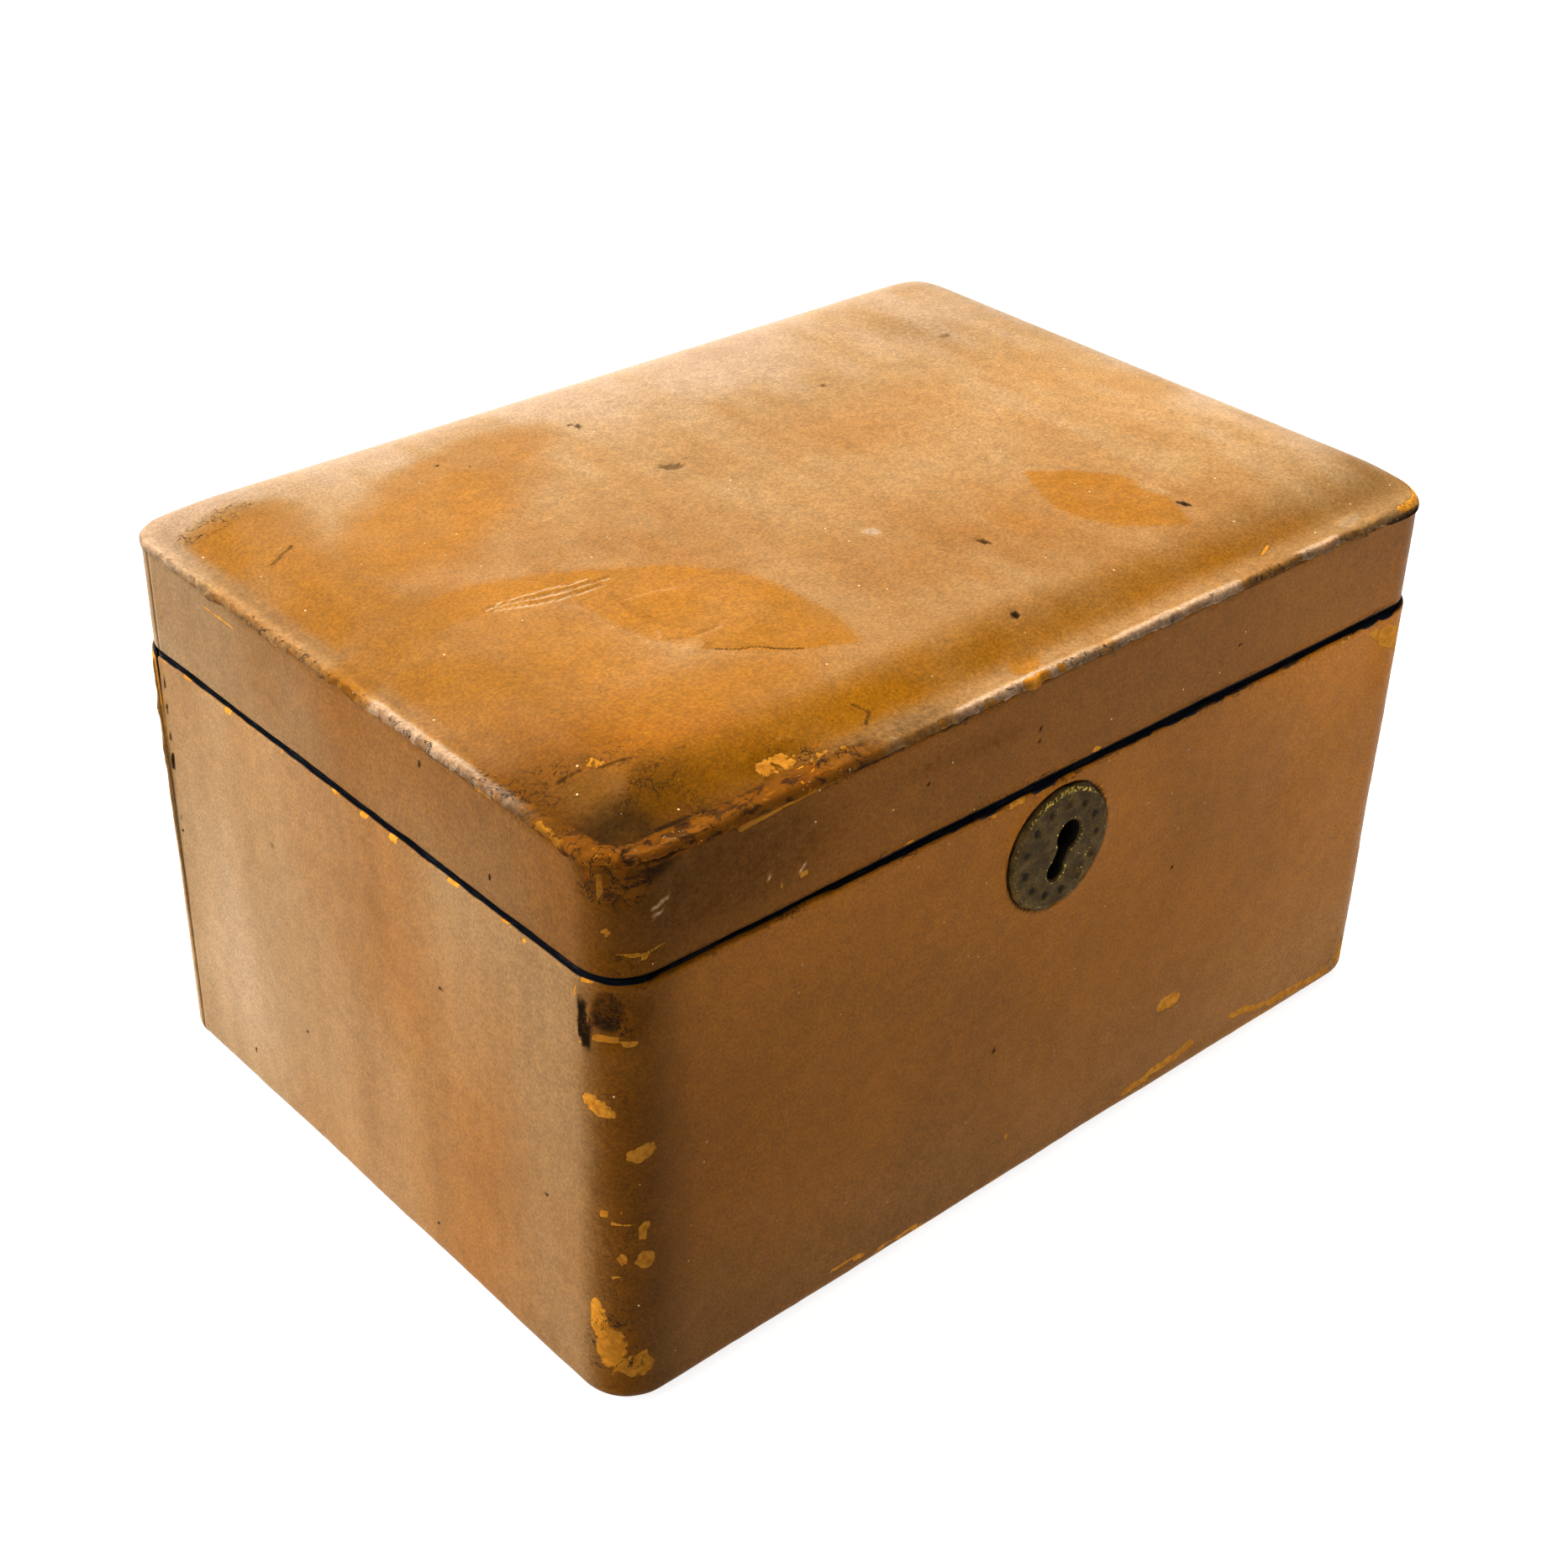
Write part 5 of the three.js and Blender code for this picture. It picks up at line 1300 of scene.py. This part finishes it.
# ---- soft pieces ----
def cushion(name, low, high, up, round_side, crown, cell):
    """A padded block from low to high whose free face, up or down, is crowned and whose edges are rolled."""
    low, high = np.array(low), np.array(high)
    span, centre = high - low, (low + high) / 2
    half_x, half_y = span[:2] / 2
    across, along = (max(4, round(s / cell)) for s in span[:2])
    side = max(2, round(span[2] / (cell * 0.6)))
    grid_u, grid_v = np.meshgrid(np.linspace(-1, 1, across + 1), np.linspace(-1, 1, along + 1))
    square_x, square_y = grid_u.ravel() * half_x, grid_v.ravel() * half_y
    shape = (half_x, half_y, round_side)
    x, y = square_to_outline(square_x, square_y, shape)
    inset = np.maximum(inset_of(np.stack([x, y, x * 0], 1), shape), 0)
    roll = min(span[2] * 0.75, round_side)
    edge = np.clip(1 - inset / roll, 0, 1)
    free = span[2] - roll * (1 - np.sqrt(np.clip(1 - edge * edge, 0, 1)))
    free -= crown * (1 - smooth(inset, 0, 26 * MM))
    flat = np.stack([square_x, square_y, square_x * 0], 1)
    free += 0.10 * MM * noise(flat, 9 * MM, 2, 3.3) * smooth(inset, 0, 6 * MM)
    sign, base = (1, low[2]) if up else (-1, high[2])
    top = np.stack([x + centre[0], y + centre[1], base + sign * free], 1)
    bottom = np.stack([x + centre[0], y + centre[1], np.full(len(x), base)], 1)
    index = np.arange(len(top)).reshape(grid_u.shape)
    quads, loop = grid_quads(index), grid_rim(index)
    rings, faces = [], quads.tolist() + (quads[:, ::-1] + len(top)).tolist()
    previous = loop
    for k in range(1, side):
        rings.append(top[loop] + (bottom[loop] - top[loop]) * k / side)
        current = 2 * len(top) + (k - 1) * len(loop) + np.arange(len(loop))
        faces += ring_quads(previous, current)
        previous = current
    faces += ring_quads(previous, loop + len(top))
    return mesh_of(name, np.concatenate([top, bottom, *rings]), faces)


def swell(piece, held, pressure, most):
    """Cloth under inner pressure, with held points fixed; no point moves further than most."""
    start = coordinates(piece)
    group = piece.vertex_groups.new(name="held")
    group.add([int(i) for i in np.flatnonzero(held)], 1.0, "REPLACE")
    settings = piece.modifiers.new("swell", "CLOTH").settings
    for key, value in (
        ("vertex_group_mass", "held"), ("quality", 5), ("mass", 0.15), ("tension_stiffness", 8),
        ("compression_stiffness", 8), ("bending_stiffness", 0.05), ("use_pressure", True),
        ("uniform_pressure_force", pressure),
    ):
        setattr(settings, key, value)
    settings.effector_weights.gravity = 0
    scene = bpy.context.scene
    for step in range(1, 21):
        scene.frame_set(step)
    graph = bpy.context.evaluated_depsgraph_get()
    settled = piece.evaluated_get(graph)
    shift = vectors(settled.data.vertices, "co") - start
    far = np.maximum(np.linalg.norm(shift, axis=1, keepdims=True), 1e-9)
    piece.modifiers.clear()
    piece.vertex_groups.clear()
    move_to(piece, start + shift * np.minimum(1, most / far))
    scene.frame_set(1)


def add_pads():
    """The two velvet pads and the wadding under the top leather."""
    corner, crown, cell, glued = 3.0 * MM, 1.2 * MM, 2.2 * MM, 0.4 * MM
    pads = [
        ("floor_cushion", "floor_pad", "box", True, 0.5),
        ("lid_lining_cushion", "lid_lining_pad", "lid", False, 0.6),
    ]
    for name, node, body, up, fill in pads:
        low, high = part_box(node)
        pad = cushion(name, low, high, up, corner, crown, cell)
        height = coordinates(pad)[:, 2]
        held = height < low.z + glued if up else height > high.z - glued
        swell(pad, held, pressure=1.2, most=1.2 * MM)
        smoother = pad.modifiers.new("smoother", "SUBSURF")
        smoother.levels = smoother.render_levels = 1
        bake(pad)
        pad.data.shade_smooth()
        dress(pad, body, "velvet", node)

    low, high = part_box("lid_pad")
    stuffing = cushion("lid_stuffing", low, high, True, 9 * MM, 1.6 * MM, 3 * MM)
    points = coordinates(stuffing)
    points[:, 2] += 0.25 * MM * noise(points, 7 * MM, 3, 2.2) * (points[:, 2] > low.z + 1 * MM)
    points[:, 2] = np.minimum(points[:, 2], np.maximum(crown_height(points) - SHEET - 0.3 * MM, low.z))
    move_to(stuffing, points)
    dress(stuffing, "lid", "wadding", "lid_pad")


def add_linings():
    """Thin velvet-covered panels on the walls, with rolled edges."""
    for prefix, body in (("lining", "box"), ("lid_lining", "lid")):
        for side in ("front", "back", "left", "right"):
            node = f"{prefix}_{side}"
            softened(node, f"{node}_panel", body, "velvet", 0.5 * MM, 4)


def softened(node, name, body, slot, width, segments):
    """A copy of a node with rounded edges."""
    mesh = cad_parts[node].data.copy()
    mesh.name = name
    panel = placed(name, mesh)
    work = bmesh.new()
    work.from_mesh(mesh)
    bmesh.ops.remove_doubles(work, verts=work.verts, dist=0.01 * MM)
    bmesh.ops.dissolve_limit(work, angle_limit=math.radians(5), verts=work.verts, edges=work.edges)
    work.to_mesh(mesh)
    work.free()
    round_off = panel.modifiers.new("roll", "BEVEL")
    round_off.width = width
    round_off.segments = segments
    round_off.limit_method = "ANGLE"
    bake(panel)
    panel.data.shade_smooth()
    return dress(panel, body, slot, node)


def add_lever_spring():
    """The lock's bowed strip, with softened edges, on a mesh of its own. On the real lock it flattens against
    the lock's top as the lever lifts; here it keeps its bow.
    """
    spring = softened("lever_spring", "lever_spring_strip", "box", "steel", 0.06 * MM, 2)
    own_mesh(spring)


# ---- keyhole plate ----
KEY_CENTRE = (PLATE_CENTRE.x + 2.0 * MM, PLATE_CENTRE.z + 2.1 * MM)
KEY_RADIUS, KEY_FOOT_RADIUS, KEY_NECK, KEY_DROP = 3.0 * MM, 2.1 * MM, 3.3 * MM, 7.1 * MM
KEY_TILT = math.radians(24)


def keyhole_outline(grow):
    """Points round the keyhole: a round head, a straight neck and a smaller round foot."""
    head, foot, half = KEY_RADIUS + grow, KEY_FOOT_RADIUS + grow, KEY_NECK / 2 + grow
    open_head, open_foot = math.asin(half / head), math.asin(min(1, half / foot))
    round_head = np.linspace(-math.pi / 2 + open_head, 1.5 * math.pi - open_head, 40)
    round_foot = np.linspace(math.pi / 2 + open_foot, 2.5 * math.pi - open_foot, 28)
    u = np.concatenate([head * np.cos(round_head), foot * np.cos(round_foot)])
    w = np.concatenate([head * np.sin(round_head), foot * np.sin(round_foot) - KEY_DROP])
    cos, sin = math.cos(KEY_TILT), math.sin(KEY_TILT)
    return np.stack([KEY_CENTRE[0] + u * cos + w * sin, KEY_CENTRE[1] - u * sin + w * cos], 1)


def keyhole_cutter(front):
    """The keyhole as a solid that opens out a little at the plate's face."""
    sections = MM * np.array([(-3, 0.45), (0.02, 0.34), (0.30, 0.06), (0.5, 0), (9, 0)])   # (depth, growth)
    points = [np.insert(keyhole_outline(grow), 1, front + depth, axis=1) for depth, grow in sections]
    index = np.arange(len(points) * len(points[0])).reshape(len(points), -1)
    faces = [index[0].tolist(), index[-1].tolist()]
    for first, second in zip(index, index[1:]):
        faces += ring_quads(first, second)
    return mesh_of("keyhole", np.concatenate(points), faces)


def add_plate():
    """A cast plate with a worn bevelled edge, a ring of plain punched dots and the keyhole's collar."""
    front = plate_low.y
    thick = 1.3 * MM
    turns, rings = 260, 62
    radii = np.linspace(0.6 * MM, PLATE_RADIUS, rings)
    angles = np.arange(turns) * 2 * math.pi / turns
    angle, radius = np.meshgrid(angles, radii)
    x, z = radius * np.cos(angle), radius * np.sin(angle)
    spots = np.stack([x.ravel(), z.ravel(), x.ravel() * 0], 1)
    bevel = 1.0 * MM
    drop = 0.55 * MM * smooth(radius, PLATE_RADIUS - bevel, PLATE_RADIUS).ravel()
    relief = 0.10 * noise(spots, 2.6 * MM, 3, 1.9) + 0.04 * noise(spots, 0.8 * MM, 2, 4.1)
    dot_ring, dot_count, dot_size = 9.4 * MM, 13, 1.05 * MM
    dots = circle((0, 0), dot_ring, dot_count)
    for dot in dots:
        away = np.hypot(*(spots[:, :2] - dot).T)
        relief -= 0.24 * smooth(away, dot_size, 0.35 * dot_size)
        relief += 0.14 * smooth(np.abs(away - dot_size * 1.2), 0.25 * MM, 0)
    relief -= 0.06 * smooth(np.abs(radius.ravel() - 11.3 * MM), 0.3 * MM, 0.05 * MM)
    edge = 0.028 * smooth(radius.ravel(), PLATE_RADIUS - 1.6 * MM, PLATE_RADIUS)
    edge = 1 + edge * noise(spots * 1.4, 3.0 * MM, 2, 7.1)
    face = np.stack([spots[:, 0] * edge, front + drop - relief * MM, spots[:, 1] * edge], 1)
    skirt = face[-turns:].copy()
    skirt[:, 1] = front + thick
    face += np.array([PLATE_CENTRE.x, 0, PLATE_CENTRE.z])
    skirt += np.array([PLATE_CENTRE.x, 0, PLATE_CENTRE.z])
    index = np.arange(rings * turns).reshape(rings, turns)
    near, far = index[:-1], index[1:]
    faces = np.stack([near, np.roll(near, -1, 1), np.roll(far, -1, 1), far], -1).reshape(-1, 4).tolist()
    lower = rings * turns + np.arange(turns)
    faces += ring_quads(index[-1], lower) + [index[0].tolist(), lower.tolist()]
    plate = mesh_of("keyhole_plate", np.concatenate([face, skirt]), faces)
    collar = prism("collar", keyhole_outline(0.8 * MM), 1, front + 1.0 * MM, plate_high.y)
    cut(plate, collar, operation="UNION")
    cut(plate, keyhole_cutter(front))
    points = coordinates(plate)
    away = from_plate(points)
    rubbed = 0.36 * smooth(np.abs(away - (PLATE_RADIUS - 0.7 * MM)), 0.9 * MM, 0.1 * MM)
    # brighter towards the top
    rubbed += 0.20 * smooth(points[:, 2], PLATE_CENTRE.z + 6 * MM, PLATE_CENTRE.z + 12 * MM)
    near_key = np.min([
        np.hypot(points[:, 0] - u, points[:, 2] - w) for u, w in keyhole_outline(0.5 * MM)[::2]
    ], axis=0)
    rubbed += 0.44 * smooth(near_key, 0.75 * MM, 0.15 * MM)
    # painted highlight: a bright glint by the keyhole's lower right
    rubbed += 0.22 * blot(points[:, 0] / MM, points[:, 2] / MM, (3.4, 73.5), (3.5, 4.5), 0, 1)
    for dot in dots:
        from_dot = from_plate(points - (dot[0], 0, dot[1]))
        rubbed -= 0.28 * smooth(from_dot, dot_size, 0.6 * dot_size)
        rubbed += 0.22 * smooth(np.abs(from_dot - 1.25 * dot_size), 0.3 * MM, 0.1 * MM)
    # dark inside the keyhole
    rubbed = np.where((points[:, 1] > front + 0.4 * MM) & (near_key < 1.2 * MM), -0.4, rubbed)
    single = plate.data.attributes.new("rubbed", "FLOAT", "POINT")
    single.data.foreach_set("value", rubbed.astype(np.float32))
    dress(plate, "box", "aged_brass", "escutcheon")


# ---- nodes that stay as the frame has them ----
WELD_DISTANCE, SMALL_BEVEL = 0.005 * MM, 0.12 * MM
SHARP_ABOVE, BEVELLED_ABOVE = math.radians(33), math.radians(40)


def smooth_by_angle():
    """A modifier's node group that smooths a mesh but keeps its sharp edges."""
    group = bpy.data.node_groups.new("smooth_by_angle", "GeometryNodeTree")
    group.interface.new_socket("Geometry", in_out="INPUT", socket_type="NodeSocketGeometry")
    group.interface.new_socket("Geometry", in_out="OUTPUT", socket_type="NodeSocketGeometry")
    start, end = group.nodes.new("NodeGroupInput"), group.nodes.new("NodeGroupOutput")
    whole = group.nodes.new("GeometryNodeSetShadeSmooth")
    crisp = group.nodes.new("GeometryNodeSetShadeSmooth")
    crisp.domain = "EDGE"
    angle = group.nodes.new("GeometryNodeInputMeshEdgeAngle")
    flat = group.nodes.new("FunctionNodeCompare")
    flat.operation = "LESS_THAN"
    flat.inputs[1].default_value = SHARP_ABOVE
    group.links.new(start.outputs[0], whole.inputs["Geometry"])
    group.links.new(whole.outputs[0], crisp.inputs["Geometry"])
    group.links.new(angle.outputs["Unsigned Angle"], flat.inputs[0])
    group.links.new(flat.outputs[0], crisp.inputs["Shade Smooth"])
    group.links.new(crisp.outputs[0], end.inputs[0])
    return group


def finish_kept_nodes():
    """Gives every node that still shows its finish, small bevels and smooth round faces."""
    group = smooth_by_angle()
    for name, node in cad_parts.items():
        if node.hide_render:
            continue
        node.modifiers.new("weld", "WELD").merge_threshold = WELD_DISTANCE
        bevel = node.modifiers.new("bevel", "BEVEL")
        bevel.width = SMALL_BEVEL
        bevel.segments = 2
        bevel.limit_method = "ANGLE"
        bevel.angle_limit = BEVELLED_ABOVE
        node.modifiers.new("shading", "NODES").node_group = group
        slot = slot_by_name(name)
        for holder in node.material_slots:
            holder.material = FINISHES[slot]


def slot_by_name(name):
    """The finish of a node, from the kind of piece that it is."""
    kinds = (
        ("edging", "dark_edging"), ("pin", "steel"), ("bolt", "steel"), ("spring", "steel"),
        ("board", "pine"), ("rail", "pine"), ("base_cover", "base_cloth"), ("lining", "velvet"),
        ("leather", "tan_leather"),
    )
    return next((slot for word, slot in kinds if word in name), "brass")


# ---- stage, light and camera ----
LAMP_AIM = Vector((0, 0, 0.06))


def add_stage():
    """A pale floor, the studio round it, two soft lamps and the view's colours."""
    size = 6.0
    corners = [(x * size, y * size, -0.2 * MM) for x, y in ((-1, -1), (1, -1), (1, 1), (-1, 1))]
    mesh = bpy.data.meshes.new("floor")
    mesh.from_pydata(corners, [], [(0, 1, 2, 3)])
    floor = placed("floor", mesh)
    made = Finish("floor", Specular_IOR_Level=0.1, Roughness=0.9, Emission_Strength=0.85)
    made.shader.inputs["Emission Color"].default_value = (1, 1, 1, 1)
    cloudy = made.noise(0.5, 2)
    mesh.materials.append(made.done(made.mix(cloudy, (0.33, 0.33, 0.33), (0.37, 0.37, 0.37))))
    add_world()

    lamps = [
        ("key", (-0.10, 0.62, 1.70), 1.0, 50, (1.0, 0.985, 0.965)),
        ("side", (-1.2, 1.0, 0.42), 0.9, 17, (1.0, 0.99, 0.975)),
    ]
    for name, place, size, power, colour in lamps:
        light = bpy.data.lights.new(name, "AREA")
        light.shape = "SQUARE"
        light.size = size
        light.energy = power
        light.color = colour
        lamp = placed(name, light)
        lamp.location = place
        lamp.rotation_mode = "QUATERNION"
        lamp.rotation_quaternion = (LAMP_AIM - Vector(place)).to_track_quat("-Z", "Y")
    view = bpy.context.scene.view_settings
    view.view_transform = "Standard"
    view.gamma = 0.8


def add_world():
    """A white studio: brightest at the back left and dimmer towards the front right."""
    world = bpy.data.worlds.new("studio")
    world.use_nodes = True
    tree = world.node_tree
    direction = tree.nodes.new("ShaderNodeTexCoord").outputs["Generated"]
    towards = tree.nodes.new("ShaderNodeVectorMath")
    towards.operation = "DOT_PRODUCT"
    towards.inputs[1].default_value = (-0.60, 0.72, 0.35)
    ramp = tree.nodes.new("ShaderNodeMapRange")
    ramp.interpolation_type = "SMOOTHSTEP"
    directions, strengths = (-0.3, 0.8), (0.35, 1.9)
    for socket, value in zip(ramp.inputs[1:], directions + strengths):
        socket.default_value = value
    background = tree.nodes["Background"]
    background.inputs["Color"].default_value = (1, 1, 1, 1)
    tree.links.new(direction, towards.inputs[0])
    tree.links.new(towards.outputs["Value"], ramp.inputs[0])
    tree.links.new(ramp.outputs[0], background.inputs["Strength"])
    bpy.context.scene.world = world


def add_camera():
    """The camera looks down on the front left corner."""
    distance = 0.5024
    azimuth, elevation, roll = (math.radians(angle) for angle in (-42.31, 32.56, 1.56))
    aim = Vector((-0.00139, 0.00037, 0.05396))
    level = math.cos(elevation)
    back = Vector((math.sin(azimuth) * level, -math.cos(azimuth) * level, math.sin(elevation)))
    data = bpy.data.cameras.new("camera")
    data.lens, data.sensor_width = 55.69, 36   # mm
    data.clip_start, data.clip_end = 0.01, 50
    camera = placed("camera", data)
    camera.location = aim + back * distance
    camera.rotation_mode = "QUATERNION"
    camera.rotation_quaternion = (-back).to_track_quat("-Z", "Y") @ Quaternion((0, 0, 1), roll)
    bpy.context.scene.camera = camera


add_camera()
add_stage()
add_body_leather()
add_lid_sides()
add_lid_top()
add_pads()
add_linings()
add_lever_spring()
add_plate()
finish_kept_nodes()
